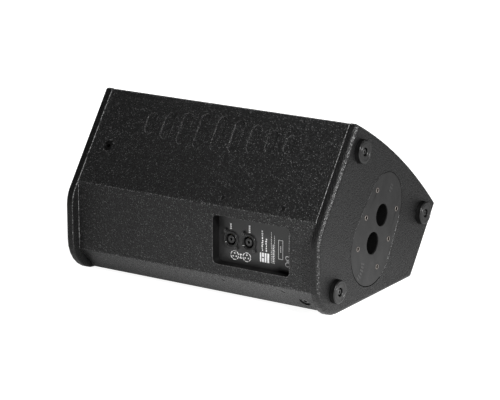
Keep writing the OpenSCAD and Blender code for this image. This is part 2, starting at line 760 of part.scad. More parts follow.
module woofer_basket() color("#2b2b2d") difference() {
    at_woofer() rotate_extrude($fn = round_fn) polygon([
        [woofer_hole_r - 3, flange_t], [woofer_r, flange_t], [woofer_r, 0],
        [woofer_hole_r - 1, 0], [basket_r + basket_wall, basket_z + 2],
        [basket_r, basket_z - casting_t], [gap_r + casting_t, basket_z - casting_t],
        [gap_r + casting_t, basket_z], [spider_ledge_r, basket_z],
        [spider_ledge_r, spider_z], [spider_r + casting_t, spider_z], [woofer_hole_r - 4, 0]]);
    at_woofer() for (k = [0:window_n - 1]) rotate([0, 0, k * 360 / window_n])
        translate([window_at[0], 0, window_at[1]])
            rotate([90, 0, 90]) cylinder(r = window_r, h = window_l, center = true);
    at_woofer_screws() woofer_screw_hole();
}

module woofer_gasket() color("#1a1a1a") difference() {
    at_woofer() rotate_extrude($fn = round_fn) polygon([
        [woofer_r - gasket_w, flange_t + land_t], [woofer_r - gasket_w, flange_t + gasket_t],
        [woofer_r, flange_t + gasket_t], [woofer_r, flange_t],
        [woofer_r - glue_w, flange_t], [woofer_r - glue_w, flange_t + land_t]]);
    at_woofer_screws() woofer_screw_hole();
}

// Half roll with a land clamped under the gasket and a lip glued to the cone
roll_c = cone_r + surround_r;
roll_t = 1.2;
function roll_arc(r, from, step) =
    [for (a = [from:step:180 - from]) [roll_c + r * cos(a), flange_t + r * sin(a)]];
module woofer_surround() color("#151515") at_woofer() rotate_extrude($fn = round_fn) polygon(concat(
    [[woofer_r - glue_w - 2 * play, flange_t], [woofer_r - glue_w - 2 * play, flange_t + land_t]],
    [[roll_c + surround_r, flange_t + land_t]],
    roll_arc(surround_r, 8, 11), [[cone_r + 0.4, flange_t + 0.4], [cone_r + 1.6, flange_t - 0.6]],
    reversed(roll_arc(surround_r - roll_t, 10, 10)), [[roll_c + surround_r - roll_t, flange_t]]));

cone_t = 1.4;
module woofer_cone() color("#202021") at_woofer() rotate_extrude($fn = round_fn) polygon([
    [neck_r, neck_z], [neck_r + cone_t, neck_z], [cone_r + cone_t, flange_t - 0.8],
    [cone_r, flange_t + 0.2]]);

cap_r = 40;
cap_z = -29.5;
cap_rise = 14;
cap_t = 0.8;
function cap_arc(drop) = let(s = (cap_r * cap_r + cap_rise * cap_rise) / (2 * cap_rise))
    [for (k = [0:8]) let(a = asin(cap_r / s) * k / 8)
        [(s - drop) * sin(a), cap_z + cap_rise - s + (s - drop) * cos(a)]];
module dust_cap() color("#1c1c1d") at_woofer() rotate_extrude($fn = round_fn)
    polygon(concat(cap_arc(0), reversed(cap_arc(cap_t))));

module voice_coil() color("#b87333") at_woofer() {
    tube(coil_r + coil_wall, coil_r, coil_z[0], neck_z + 2);
    tube(coil_r + coil_wall + winding_t, coil_r + coil_wall, coil_z[0], coil_z[1]);
}

spider_waves = 5;
spider_flat = 0.1;
spider_rise = 1.6;
spider_t = 0.7;
spider_steps = 40;
function spider_wave(t, lift) = let(wave = min(1, t / (1 - spider_flat)))
    [coil_r + coil_wall + t * (spider_r - coil_r - coil_wall),
     spider_z + lift + spider_rise * sin(360 * spider_waves * wave)];
function spider_line(lift) = [for (k = [0:spider_steps]) spider_wave(k / spider_steps, lift)];
module woofer_spider() color("#b98a3a") at_woofer() rotate_extrude($fn = round_fn)
    polygon(concat(spider_line(0), reversed(spider_line(spider_t))));

module woofer_top_plate() color("#8d8d8f") at_woofer()
    tube(iron_r, gap_r, top_plate_z, basket_z - casting_t);
module woofer_magnet() color("#333333") at_woofer()
    tube(magnet_r, gap_r + 8, magnet_z, top_plate_z);
module woofer_back_plate() color("#8d8d8f") at_woofer() difference() {
    union() {
        tube(iron_r, 0, back_plate_z, magnet_z);
        tube(pole_piece_r, 0, magnet_z - cut, basket_z - casting_t + cut);
    }
    translate([0, 0, back_plate_z - cut]) cylinder(r = vent_r, h = basket_z - back_plate_z);
}
module woofer_screws() color("#202021") at_woofer_screws()
    translate([0, 0, flange_t + gasket_t])
        screw(woofer_head[0], woofer_head[1], woofer_screw_r, woofer_screw_l, woofer_hex_r);

// Terminal block under the basket's rear ring, with two tabs
terminal_at = 70.5;
terminal_turn = 30;
terminal_block = [6.5, 22, 7];
terminal_tab = [8, 2.4, 4];
module woofer_terminals() color("#c9a04a") at_woofer() rotate([0, 0, terminal_turn])
    translate([terminal_at, 0, basket_z - casting_t]) {
        translate([0, -terminal_block[1] / 2, -terminal_block[2]]) cube(terminal_block);
        for (y = [-8, 6]) translate([terminal_block[0], y, -5]) cube(terminal_tab);
    }

// ---- Horn and compression driver, in the same frame ----

throat_r = 12.7;
horn_depth = 75;
horn_wall = 3;
horn_flange_t = 5;
driver_r = 42;
driver_z = -81;
horn_screw_n = 8;
horn_screw_in = 7;
horn_screw_r = 2;
horn_screw_l = 18;
horn_head = [4, 2];
horn_hex_r = 1.5;
horn_corner_r = 8;
horn_edge = 5;       // how far the flare stays inside the mouth hole
flare_power = 1.7;
function flare(t, add) =
    [throat_r + add + (horn_mouth_r - horn_edge - throat_r) * pow(t, flare_power),
     -horn_depth + (horn_depth + horn_flange_t) * t];
function flare_line(add) = [for (k = [0:12]) flare(k / 12, add)];
module at_horn_screws() at_horn() for (k = [0:horn_screw_n - 1]) {
    reach = (horn_w / 2 - horn_screw_in) * (k % 2 == 0 ? 1 : 1.37);
    rotate([0, 0, k * 360 / horn_screw_n]) translate([reach, 0, 0]) children();
}
module horn() color("#1d1d1e") difference() {
    at_horn() union() {
        linear_extrude(horn_flange_t) difference() {
            round_rect(horn_w, horn_w, horn_corner_r);
            circle(horn_mouth_r - horn_edge + cut);
        }
        rotate_extrude($fn = round_fn)
            polygon(concat(flare_line(0), reversed(flare_line(horn_wall))));
        tube(driver_r - 4, throat_r, driver_z, -horn_depth + cut);
    }
    at_horn_screws() translate([0, 0, -cut])
        cylinder(r = horn_screw_r + play, h = horn_flange_t + 2 * cut, $fn = 24);
}
module horn_screws() color("#202021") at_horn_screws() translate([0, 0, horn_flange_t])
    screw(horn_head[0], horn_head[1], horn_screw_r, horn_screw_l, horn_hex_r);

plug_r = 21;
plug_z = -106;
coil_gap = 24.5;
diaphragm_z = -112;
diaphragm_t = 0.6;
dome_r = 22.9;
dome_rise = 8;
dome_coil = [0.8, 12];
cover_z = -128;
cover_t = 2;
function dome_line(lift) = [for (k = [0:6])
    [dome_r * sin(k * 10) / sin(60), diaphragm_z + lift - dome_rise * (cos(k * 10) - 0.5)]];
module driver_magnet() color("#3a3a3c") at_horn()
    tube(driver_r, coil_gap, diaphragm_z + diaphragm_t, driver_z);
module driver_phase_plug() color("#77787a") at_horn() difference() {
    tube(plug_r, 0, plug_z, driver_z);
    translate([0, 0, plug_z - cut])
        cylinder(r1 = 5, r2 = throat_r, h = driver_z - plug_z + 2 * cut);
}
module driver_diaphragm() color("#b9bcc0") at_horn() {
    tube(dome_r, dome_r - dome_coil[0], diaphragm_z, diaphragm_z + dome_coil[1]);
    rotate_extrude() polygon(concat(dome_line(0), reversed(dome_line(diaphragm_t))));
}
// Thin ring that holds the dome, clamped under the rear cover
module driver_suspension() color("#8f7a3c") at_horn()
    tube(driver_r - 2, dome_r, diaphragm_z, diaphragm_z + diaphragm_t);
module driver_rear_cover() color("#1b1b1c") at_horn() difference() {
    tube(driver_r - 2, 0, cover_z, diaphragm_z);
    translate([0, 0, cover_z + cover_t])
        cylinder(r = driver_r - 3 * cover_t, h = diaphragm_z - cover_z);
}

// ---- Port tubes ----

port_l = 92;
port_rim = [4, 3];
module port_tubes() color("#1d1d1e") at_ports() {
    tube(port_r + port_wall, port_r, -port_l, play);
    tube(port_r + port_wall + port_rim[0], port_r, 0, port_rim[1]);
}

// ---- Crossover on the floor panel ----

board = [140, 104, 1.6];
board_at = [60, -72];
board_hole_r = 1.7;
board_hole_in = 8;
standoff_r = 4;
standoff_h = 8;
board_z = ply_t + standoff_h;
module on_board(x, y) translate([x_mid + board_at[0] + x, board_at[1] + y, board_z + board[2]])
    children();
module at_standoffs()
    for (x = [board_hole_in, board[0] - board_hole_in], y = [board_hole_in, board[1] - board_hole_in])
        on_board(x, y) children();
module crossover_board() color("#2f6b3c") {
    difference() {
        translate([x_mid + board_at[0], board_at[1], board_z]) cube(board);
        at_standoffs() translate([0, 0, -board[2] - cut])
            cylinder(r = board_hole_r, h = board[2] + 2 * cut, $fn = 24);
    }
    at_standoffs() translate([0, 0, -standoff_h - board[2]])
        tube(standoff_r, board_hole_r, 0, standoff_h);
}
// Air coils lying flat: place on the board, outer and inner radius, height
flat_coils = [[34, 34, 22, 9, 20], [84, 30, 17, 7, 16]];
// The coil on edge: place on the board, outer and inner radius, length
edge_coil = [38, 80, 15, 6, 20];
// Capacitors: place on the board, radius, length
capacitors = [[72, 66, 9, 36], [72, 86, 8, 36], [120, 40, 11, 16]];
module crossover_coils() color("#b5652b") {
    for (c = flat_coils) on_board(c[0], c[1]) tube(c[2], c[3], 0, c[4]);
    on_board(edge_coil[0], edge_coil[1]) translate([0, 0, edge_coil[2]]) rotate([90, 0, 0])
        tube(edge_coil[2], edge_coil[3], -edge_coil[4] / 2, edge_coil[4] / 2);
}
module crossover_capacitors() color("#3d4f8a") for (c = capacitors)
    on_board(c[0], c[1]) translate([0, 0, c[2]]) rotate([0, 90, 0]) cylinder(r = c[2], h = c[3]);

// ---- Leads inside the cabinet: each route is a list of hand-chosen points ----

lead_r = 2.2;
lead_sides = 8;
lead_steps = 6;
input_route = [[-92, 126, 104], [-88, 112, 96], [-60, 102, 76], [-22, 90, 52], [22, 66, 38],
    [52, 46, 33], [72, 28, 28.4]];
woofer_route = [[1, 31.7, 157.8], [12, 34, 152], [30, 30, 120], [48, 14, 80], [62, -4, 46],
    [75, -16, 28.4]];
driver_route = [[150, 43.2, 139], [150, 58, 146], [150, 86, 132], [150, 96, 90], [150, 76, 52],
    [150, 48, 37], [150, 26, 28.4]];

// Smooth curve through the points, then a tube swept along it
function spline(p, i, t) =
    let(n = len(p), a = p[max(i - 1, 0)], b = p[i], c = p[i + 1], d = p[min(i + 2, n - 1)])
    0.5 * (2 * b + (c - a) * t + (2 * a - 5 * b + 4 * c - d) * t * t
        + (3 * b - a - 3 * c + d) * t * t * t);
function curve(p, steps) = concat([for (i = [0:len(p) - 2], k = [0:steps - 1])
    spline(p, i, k / steps)], [p[len(p) - 1]]);
module swept(route, r, side) {
    path = curve(route, lead_steps);
    n = len(path);
    points = [for (i = [0:n - 1])
        let(t = path[min(i + 1, n - 1)] - path[max(i - 1, 0)], z = t / norm(t),
            c = cross(side, z), x = c / norm(c), y = cross(z, x))
        for (k = [0:lead_sides - 1])
            path[i] + r * (cos(360 * k / lead_sides) * x + sin(360 * k / lead_sides) * y)];
    translate([x_mid, 0, 0]) polyhedron(points, concat(
        [[for (k = [0:lead_sides - 1]) k]],
        [[for (k = [lead_sides - 1:-1:0]) (n - 1) * lead_sides + k]],
        [for (i = [0:n - 2], k = [0:lead_sides - 1]) let(j = (k + 1) % lead_sides)
            [i * lead_sides + k, (i + 1) * lead_sides + k, (i + 1) * lead_sides + j,
             i * lead_sides + j]]));
}
module input_lead() color("#101010") swept(input_route, lead_r, [0, 1, 0]);
module speaker_leads() color("#7a1f1f") {
    swept(woofer_route, lead_r, [0, 1, 0]);
    swept(driver_route, lead_r, [1, 0, 0]);
}

// ---- Wadding on the inner faces ----

pad_t = 12;
pad_x0 = -150;
long_pad_x1 = 190;
long_pad_v = [120, 144];
short_pad_x1 = 100;
short_pad_v = [62, 120];
rear_pad_x = [10, 210];
rear_pad_z = [56, 136];

// Pad against a wall: u and v give two corners of its section
module wall_pad(x1, u, v) along_x(pad_x0, x1)
    polygon([sec(u[0], v[0]), sec(u[1], v[0]), sec(u[1], v[1]), sec(u[0], v[1])]);
module damping_pads() color("#d8d4c8") {
    wall_pad(long_pad_x1, [ply_t, ply_t + pad_t], long_pad_v);
    wall_pad(short_pad_x1, [front_w - ply_t, front_w - ply_t - pad_t], short_pad_v);
    translate([x_mid + rear_pad_x[0], p_ridge[0] - ply_t - pad_t, rear_pad_z[0]])
        cube([rear_pad_x[1] - rear_pad_x[0], pad_t, rear_pad_z[1] - rear_pad_z[0]]);
}

end_panel_bottom();
end_panel_top();
upper_side_panel();
rear_panel();
bevel_panel();
floor_panel();
lower_side_panel();
baffle();
baffle_battens();
corner_blocks();
panel_screws();
grille();
grille_foam();
grille_screws();
connector_frame();
connector_plate();
connector_plate_screws();
input_socket();
link_socket();
socket_contacts();
socket_screws();
pole_plate();
pole_cup_3deg();
pole_cup_7deg();
pole_plate_screws();
foot_upper();
foot_front();
foot_rear();
foot_screws();
foot_washers();
rigging_insert_side();
rigging_insert_rear();
grip_cup();
grip_screws();
woofer_basket();
woofer_gasket();
woofer_surround();
woofer_cone();
dust_cap();
voice_coil();
woofer_spider();
woofer_top_plate();
woofer_magnet();
woofer_back_plate();
woofer_screws();
woofer_terminals();
horn();
horn_screws();
driver_magnet();
driver_phase_plug();
driver_diaphragm();
driver_suspension();
driver_rear_cover();
port_tubes();
crossover_board();
crossover_coils();
crossover_capacitors();
input_lead();
speaker_leads();
damping_pads();
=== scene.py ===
"""Looks of the stage monitor wedge: materials, small pieces, perforated grille, light and camera.

Everything is in metres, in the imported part's frame: +X towards the end with the grip, +Y towards
the rear panel, +Z up. The pole end with the feet is at -X, and the grille faces -Y and up.
"""
import json
import math
import random

import bmesh
import bpy
from mathutils import Matrix, Vector
from mathutils.geometry import convex_hull_2d


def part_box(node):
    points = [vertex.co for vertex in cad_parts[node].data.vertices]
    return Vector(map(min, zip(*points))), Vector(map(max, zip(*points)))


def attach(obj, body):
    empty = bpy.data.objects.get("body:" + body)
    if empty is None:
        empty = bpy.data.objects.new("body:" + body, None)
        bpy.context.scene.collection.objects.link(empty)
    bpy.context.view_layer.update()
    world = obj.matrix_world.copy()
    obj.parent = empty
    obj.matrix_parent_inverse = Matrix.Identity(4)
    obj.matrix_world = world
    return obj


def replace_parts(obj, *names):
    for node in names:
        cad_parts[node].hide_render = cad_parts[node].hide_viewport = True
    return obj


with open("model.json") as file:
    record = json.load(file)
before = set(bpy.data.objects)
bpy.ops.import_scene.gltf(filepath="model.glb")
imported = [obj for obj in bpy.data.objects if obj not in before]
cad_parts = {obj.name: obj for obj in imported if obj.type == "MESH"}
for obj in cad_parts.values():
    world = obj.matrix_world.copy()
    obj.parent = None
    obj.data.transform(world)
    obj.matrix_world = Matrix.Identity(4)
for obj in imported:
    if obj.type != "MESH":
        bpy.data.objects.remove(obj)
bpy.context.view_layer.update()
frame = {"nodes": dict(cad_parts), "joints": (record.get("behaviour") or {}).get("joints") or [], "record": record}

SCENE = bpy.context.scene
NODES = frame["nodes"]
MOUNTS = {m["name"]: m for m in frame["record"]["mounts"]}
CABINET = "cabinet"

# ---------------------------------------------------------------- directions and places

OUT = Vector(frame["joints"][0]["axis"]).normalized()      # out of the front
UP = Vector((0, OUT.z, -OUT.y))                            # up the front
REAR = Vector((0, 1, 0))
POLE_END = Vector((-1, 0, 0))


def centre(node):
    """Middle of a node's box."""
    low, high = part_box(node)
    return (low + high) / 2


def axes(z, y):
    """Rotation whose Z is z and whose Y is as near y as it can be."""
    z = Vector(z).normalized()
    x = Vector(y).cross(z).normalized()
    return Matrix((x, z.cross(x), z)).transposed()


def placed(origin, z, y):
    """4x4 matrix of a local frame."""
    return Matrix.Translation(origin) @ axes(z, y).to_4x4()

# ---------------------------------------------------------------- node material helpers


class Shader:
    """A principled material built node by node."""

    def __init__(self, name, **values):
        self.mat = bpy.data.materials.new(name)
        self.mat.use_nodes = True
        self.tree = self.mat.node_tree
        self.bsdf = next(n for n in self.tree.nodes if n.type == "BSDF_PRINCIPLED")
        for key, value in values.items():
            self.bsdf.inputs[key.replace("_", " ")].default_value = value
        self.place = self.node("ShaderNodeTexCoord").outputs["Object"]

    def node(self, kind, inputs=None, **props):
        """New node with its properties set, and its inputs linked or set."""
        made = self.tree.nodes.new(kind)
        for key, value in props.items():
            setattr(made, key, value)
        for key, value in (inputs or {}).items():
            self.put(made.inputs[key], value)
        return made

    def put(self, socket, value):
        """Links value to a socket if it's an output, and sets it otherwise."""
        if isinstance(value, bpy.types.NodeSocket):
            self.tree.links.new(value, socket)
        else:
            socket.default_value = value

    def noise(self, scale, detail=2.0, rough=0.5, stretch=None):
        """Smooth noise, scale to the metre; stretch multiplies it along each axis."""
        where = self.place
        if stretch:
            where = self.node("ShaderNodeMapping", {0: self.place, "Scale": stretch}).outputs[0]
        return self.node("ShaderNodeTexNoise", {"Vector": where, "Scale": scale,
                         "Detail": detail, "Roughness": rough}).outputs["Fac"]

    def cells(self, scale, feature="F1", out="Distance"):
        """Voronoi cells, scale to the metre."""
        return self.node("ShaderNodeTexVoronoi", {"Vector": self.place, "Scale": scale},
                         feature=feature).outputs[out]

    def ramp(self, value, low, high, a=0.0, b=1.0):
        """value from low..high mapped to a..b and held outside."""
        return self.node("ShaderNodeMapRange", {"Value": value, "From Min": low,
                         "From Max": high, "To Min": a, "To Max": b}).outputs[0]

    def math(self, kind, a, b=0.0):
        return self.node("ShaderNodeMath", {0: a, 1: b}, operation=kind).outputs[0]

    def channel(self, colour, index):
        """Red, green or blue of a colour."""
        return self.node("ShaderNodeSeparateColor", {0: colour}).outputs[index]

    def mix(self, fac, a, b):
        """Colour from a at 0 to b at 1."""
        made = self.node("ShaderNodeMix", data_type="RGBA")
        self.put(made.inputs["Factor"], fac)
        self.put(made.inputs["A"], a)
        self.put(made.inputs["B"], b)
        return made.outputs["Result"]

    def colour(self, socket):
        self.put(self.bsdf.inputs["Base Color"], socket)

    def rough(self, socket):
        self.put(self.bsdf.inputs["Roughness"], socket)

    def bump(self, height, strength, distance):
        """Relief of a height from 0 to 1 that stands distance metres high at 1."""
        made = self.node("ShaderNodeBump", {"Height": height, "Strength": strength,
                         "Distance": distance})
        self.put(self.bsdf.inputs["Normal"], made.outputs[0])

    def edge(self, radius):
        """1 on edges within about radius and 0 elsewhere."""
        soft = self.node("ShaderNodeBevel", {"Radius": radius}, samples=4).outputs[0]
        face = self.node("ShaderNodeNewGeometry").outputs["Normal"]
        same = self.node("ShaderNodeVectorMath", {0: soft, 1: face},
                         operation="DOT_PRODUCT").outputs["Value"]
        return self.ramp(same, 0.999, 0.95)

    def rolled_edge_highlight(self):
        """Mask of the painted highlight on an end panel's rolled edge: 1 midway round it, 0 on flat faces and low
        down.
        """
        normal = self.node("ShaderNodeTexCoord").outputs["Normal"]
        parts = self.node("ShaderNodeSeparateXYZ", {0: normal})
        across = self.math("ABSOLUTE", parts.outputs["X"])
        band = self.math("MULTIPLY", self.ramp(across, 0.96, 0.84), self.ramp(across, 0.35, 0.62))
        return self.math("MULTIPLY", band, self.ramp(parts.outputs["Z"], -0.35, 0.1))


def grey(value, tint=0.0):
    """A near-neutral colour; tint above 0 is cooler."""
    return (value * (1 - tint), value, value * (1 + tint), 1.0)

# ---------------------------------------------------------------- materials

GRAIN_SCALE = 500           # cells to the metre: the paint's grains, 2 mm across
MOTTLE_SCALE = 540          # the same for lighter and darker patches
GLINT_SCALE = 720           # and for facets, some of them with a painted glint
FACETS_DARK = 0.8           # part of the facets that get no painted glint on a flat face
EDGE_LESS = 0.5             # how much smaller that part is on an edge, where the glints are a painted highlight
PAINT_EDGE = 0.0025         # width of an edge with a painted highlight, where it isn't a rolled one


def structured_paint(name, base, grain_light, painted_glint, edge_painted_glint, specular, rolled=False):
    """Black structured paint: mottled grains with finer bright facets between.

    base and grain_light are the greys of the grains; the other two greys are those of the facets on flat faces and
    on edges.
    The bright facets are a painted glint; they are more and brighter on edges, a painted highlight there: rolled
    ones are found by their normal.
    """
    s = Shader(name, Specular_IOR_Level=specular)
    grain = s.cells(GRAIN_SCALE, feature="SMOOTH_F1")
    fine = s.noise(1200, 3, 0.6)
    height = s.math("ADD", grain, s.math("MULTIPLY", fine, 0.45))
    mottle = s.channel(s.cells(MOTTLE_SCALE, out="Color"), 1)
    mottle = s.math("POWER", mottle, 2.5)
    # where the painted highlight goes: round a rolled edge, or along any other edge
    edge = s.rolled_edge_highlight() if rolled else s.edge(PAINT_EDGE)
    pick = s.channel(s.cells(GLINT_SCALE, out="Color"), 0)
    least = s.math("SUBTRACT", FACETS_DARK, s.math("MULTIPLY", edge, EDGE_LESS))
    above = s.math("SUBTRACT", pick, least)
    # the facets picked here are a painted glint, more of them and brighter on edges
    glint_mask = s.math("MULTIPLY", s.ramp(above, 0.0, 0.18), s.ramp(s.cells(GLINT_SCALE), 0.5, 0.2))
    ground = s.mix(mottle, grey(base), grey(grain_light, 0.02))
    s.colour(s.mix(glint_mask, ground, s.mix(edge, grey(painted_glint), grey(edge_painted_glint))))
    s.rough(s.ramp(grain, 0.0, 0.7, 0.32, 0.58))
    s.bump(height, 0.85, 0.0012)
    return s.mat


def painted_highlight_dots(name, bright):
    """Bead in a seam or on a rim: dark, with many lighter dots that are a painted highlight along that edge."""
    s = Shader(name, Roughness=0.35)
    dots = s.ramp(s.noise(420, 3, 0.6), 0.42, 0.62)
    s.colour(s.mix(dots, grey(0.008), grey(bright)))
    s.bump(dots, 0.5, 0.0003)
    return s.mat


def smooth_coat(name, base, roughness, specular=0.5):
    """Fine powder coat, with faint handling marks."""
    s = Shader(name, Specular_IOR_Level=specular)
    marks = s.noise(28, 4, 0.6, (1, 1.5, 1))
    s.colour(s.mix(s.ramp(marks, 0.4, 0.7), grey(base), grey(base * 1.25)))
    s.rough(s.ramp(marks, 0.35, 0.75, roughness - 0.06, roughness + 0.1))
    s.bump(s.noise(1900, 2), 0.25, 0.0002)
    return s.mat


def plain_metal(name, base, roughness, tint=(1.0, 1.0, 1.0)):
    """Turned or plated metal with fine scratches and dull patches."""
    s = Shader(name, Metallic=1.0)
    patch = s.noise(160, 4, 0.6)
    scratch = s.noise(900, 2, 0.5, (1, 1, 0.06))
    low = tuple(base * 0.7 * t for t in tint) + (1,)
    high = tuple(base * t for t in tint) + (1,)
    s.colour(s.mix(s.ramp(patch, 0.35, 0.65), low, high))
    s.rough(s.ramp(patch, 0.3, 0.7, roughness + 0.12, roughness - 0.06))
    s.bump(scratch, 0.2, 0.0001)
    return s.mat


def moulded(name, base, roughness, grain_scale=1400, depth=0.00012, specular=0.5):
    """Moulded plastic or rubber with a spark-eroded grain."""
    s = Shader(name, Specular_IOR_Level=specular)
    grain = s.noise(grain_scale, 3, 0.6)
    broad = s.noise(40, 3)
    s.colour(s.mix(s.ramp(broad, 0.35, 0.7), grey(base * 0.85), grey(base * 1.2)))
    s.rough(s.ramp(broad, 0.3, 0.7, roughness - 0.05, roughness + 0.07))
    s.bump(grain, 0.4, depth)
    return s.mat


def matt_black(name):
    """Deep matt black, darker than the real pole cups' insides: partly painted shade there, and painted shade in
    the pole plate's gap, the screw sockets and the foot recesses.
    """
    s = Shader(name, Specular_IOR_Level=0.05)
    s.colour(s.mix(s.noise(300, 2), grey(0.0006), grey(0.0018)))
    s.rough(s.ramp(s.noise(90, 2), 0.3, 0.7, 0.85, 0.95))
    return s.mat


def plywood(name):
    """Bare ply and pine, with grain along the cabinet."""
    s = Shader(name, Roughness=0.75)
    grain = s.noise(60, 5, 0.65, (1, 14, 14))
    s.colour(s.mix(s.ramp(grain, 0.3, 0.7), (0.40, 0.27, 0.14, 1), (0.62, 0.47, 0.28, 1)))
    s.bump(grain, 0.3, 0.0003)
    return s.mat


def foam(name):
    """Open-cell foam: pits about 1.5 mm across."""
    s = Shader(name, Roughness=0.95)
    pits = s.cells(650)
    # darker at the bottom of each pit: painted shade in the pits
    s.colour(s.mix(s.ramp(pits, 0.1, 0.5), grey(0.004), grey(0.02)))
    s.bump(pits, 0.9, 0.0008)
    return s.mat


def cloth(name, a, b):
    """Woven or matted fibre."""
    s = Shader(name, Roughness=0.9)
    fibre = s.noise(700, 4, 0.7)
    s.colour(s.mix(s.ramp(fibre, 0.3, 0.7), a, b))
    s.bump(fibre, 0.6, 0.0005)
    return s.mat


def white_ink(name):
    """Screen-printed ink, slightly uneven."""
    s = Shader(name, Roughness=0.5)
    patch = s.noise(500, 3)
    s.colour(s.mix(s.ramp(patch, 0.35, 0.6), grey(0.6), grey(0.78)))
    s.bump(patch, 0.2, 0.00005)
    return s.mat


def make_materials():
    """Every material by its name; the names of the record's slots are among them."""
    return {
        # the bright facets in both paints are a painted glint, brighter on edges as a painted highlight
        "cabinet_paint": structured_paint("cabinet_paint", base=0.002, grain_light=0.012,
                                          painted_glint=0.19, edge_painted_glint=0.3, specular=0.39),
        # darker copy of the cabinet paint for the end panels: painted shade, with a painted highlight round the
        # rolled edges
        "end_paint_shaded_highlit": structured_paint("end_paint_shaded_highlit", base=0.0005, grain_light=0.006, painted_glint=0.022,
                                      edge_painted_glint=0.3, specular=0.33, rolled=True),
        # light dots on beads, bright and dim: a painted highlight along seams and rims
        "painted_highlight_dots": painted_highlight_dots("painted_highlight_dots", 0.36),
        "dim_painted_highlight_dots": painted_highlight_dots("dim_painted_highlight_dots", 0.11),
        # darker copy of the foot rubber for the feet's sides: painted shade
        "foot_rubber_shaded": moulded("foot_rubber_shaded", 0.001, 0.5, 900, 0.00015, specular=0.12),
        # dark sheet on the walls of the connector recess: painted shade
        "recess_painted_shade": moulded("recess_painted_shade", 0.002, 0.6, 700, 0.0003, specular=0.2),
        "dull_brass": plain_metal("dull_brass", 0.1, 0.4, (1.0, 0.8, 0.5)),
        # near-black: painted shade in gaps, sockets and recesses, and partly painted shade in the pole cups
        "black_and_painted_shade": matt_black("black_and_painted_shade"),
        "bare_ply": plywood("bare_ply"),
        "painted_steel": smooth_coat("painted_steel", 0.018, 0.42),
        "pole_plate_paint": smooth_coat("pole_plate_paint", 0.004, 0.44, specular=0.36),
        "grille_steel": smooth_coat("grille_steel", 0.016, 0.4),
        "grille_foam": foam("grille_foam"),
        "socket_plastic": moulded("socket_plastic", 0.006, 0.4),
        "brass_contact": plain_metal("brass_contact", 0.8, 0.25, (1.0, 0.78, 0.4)),
        "black_screw": plain_metal("black_screw", 0.09, 0.3),
        "plain_screw": plain_metal("plain_screw", 0.26, 0.5, (1.0, 0.9, 0.83)),
        "core_plastic": moulded("core_plastic", 0.013, 0.35),
        "glossy_black": moulded("glossy_black", 0.008, 0.22, 600, 0.00003),
        "foot_rubber": moulded("foot_rubber", 0.006, 0.36, 900, 0.00015, specular=0.34),
        "grip_plastic": moulded("grip_plastic", 0.012, 0.45),
        "cast_basket": smooth_coat("cast_basket", 0.03, 0.5),
        "gasket_rubber": moulded("gasket_rubber", 0.012, 0.6),
        "cone_paper": cloth("cone_paper", grey(0.012), grey(0.03)),
        "spider_cloth": cloth("spider_cloth", (0.3, 0.2, 0.07, 1), (0.45, 0.32, 0.12, 1)),
        "coil_copper": plain_metal("coil_copper", 0.8, 0.3, (1.0, 0.55, 0.33)),
        "plated_iron": plain_metal("plated_iron", 0.55, 0.35),
        "ferrite": moulded("ferrite", 0.04, 0.6, 700),
        "horn_plastic": moulded("horn_plastic", 0.012, 0.35),
        "diaphragm_metal": plain_metal("diaphragm_metal", 0.8, 0.25),
        "port_plastic": moulded("port_plastic", 0.012, 0.45),
        "board": smooth_coat("board", 0.05, 0.4),
        "capacitor_film": moulded("capacitor_film", 0.08, 0.3),
        "lead_sheath": moulded("lead_sheath", 0.012, 0.45),
        "wadding": cloth("wadding", (0.5, 0.48, 0.43, 1), (0.75, 0.73, 0.68, 1)),
        "ink": white_ink("ink"),
    }


MATS = make_materials()

# ---------------------------------------------------------------- mesh helpers

SHARP_ANGLE = 38            # degrees between two faces that a smooth piece keeps sharp


def piece(name, mesh, material, smooth=True):
    """Links a mesh as a piece that rides on the cabinet, with its material."""
    mesh.materials.clear()
    mesh.materials.append(MATS[material])
    obj = bpy.data.objects.new(name, mesh)
    SCENE.collection.objects.link(obj)
    if smooth:
        for p in mesh.polygons:
            p.use_smooth = True
        mesh.set_sharp_from_angle(angle=math.radians(SHARP_ANGLE))
    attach(obj, CABINET)
    return obj


def mesh_of(name, verts, faces):
    """Mesh with its faces turned outwards."""
    mesh = bpy.data.meshes.new(name)
    mesh.from_pydata([tuple(v) for v in verts], [], faces)
    mesh.validate()
    bm = bmesh.new()
    bm.from_mesh(mesh)
    bmesh.ops.recalc_face_normals(bm, faces=bm.faces)
    bm.to_mesh(mesh)
    bm.free()
    return mesh


def joined(name, parts):
    """One mesh from several (verts, faces) parts."""
    verts, faces = [], []
    for v, f in parts:
        start = len(verts)
        verts += [tuple(p) for p in v]
        faces += [[start + i for i in face] for face in f]
    return mesh_of(name, verts, faces)


def moved(part, matrix):
    """A (verts, faces) part carried by a matrix."""
    return [matrix @ Vector(v) for v in part[0]], part[1]


def lathe(profile, segments=64):
    """Closed ring of a profile [(radius, height), ...] turned round Z; radius 0 makes a pole."""
    verts, faces, rows = [], [], []
    for r, z in profile:
        if r < 1e-7:
            rows.append([len(verts)] * segments)
            verts.append((0, 0, z))
        else:
            rows.append(list(range(len(verts), len(verts) + segments)))
            verts += [(r * math.cos(2 * math.pi * k / segments),
                       r * math.sin(2 * math.pi * k / segments), z) for k in range(segments)]
    closed = profile[0][0] > 1e-7 and profile[-1][0] > 1e-7
    pairs = list(zip(rows, rows[1:])) + ([(rows[-1], rows[0])] if closed else [])
    for a, b in pairs:
        for k in range(segments):
            j = (k + 1) % segments
            face = [a[k], a[j], b[j], b[k]]
            unique = [v for i, v in enumerate(face) if v not in face[:i]]
            if len(unique) > 2:
                faces.append(unique)
    return verts, faces


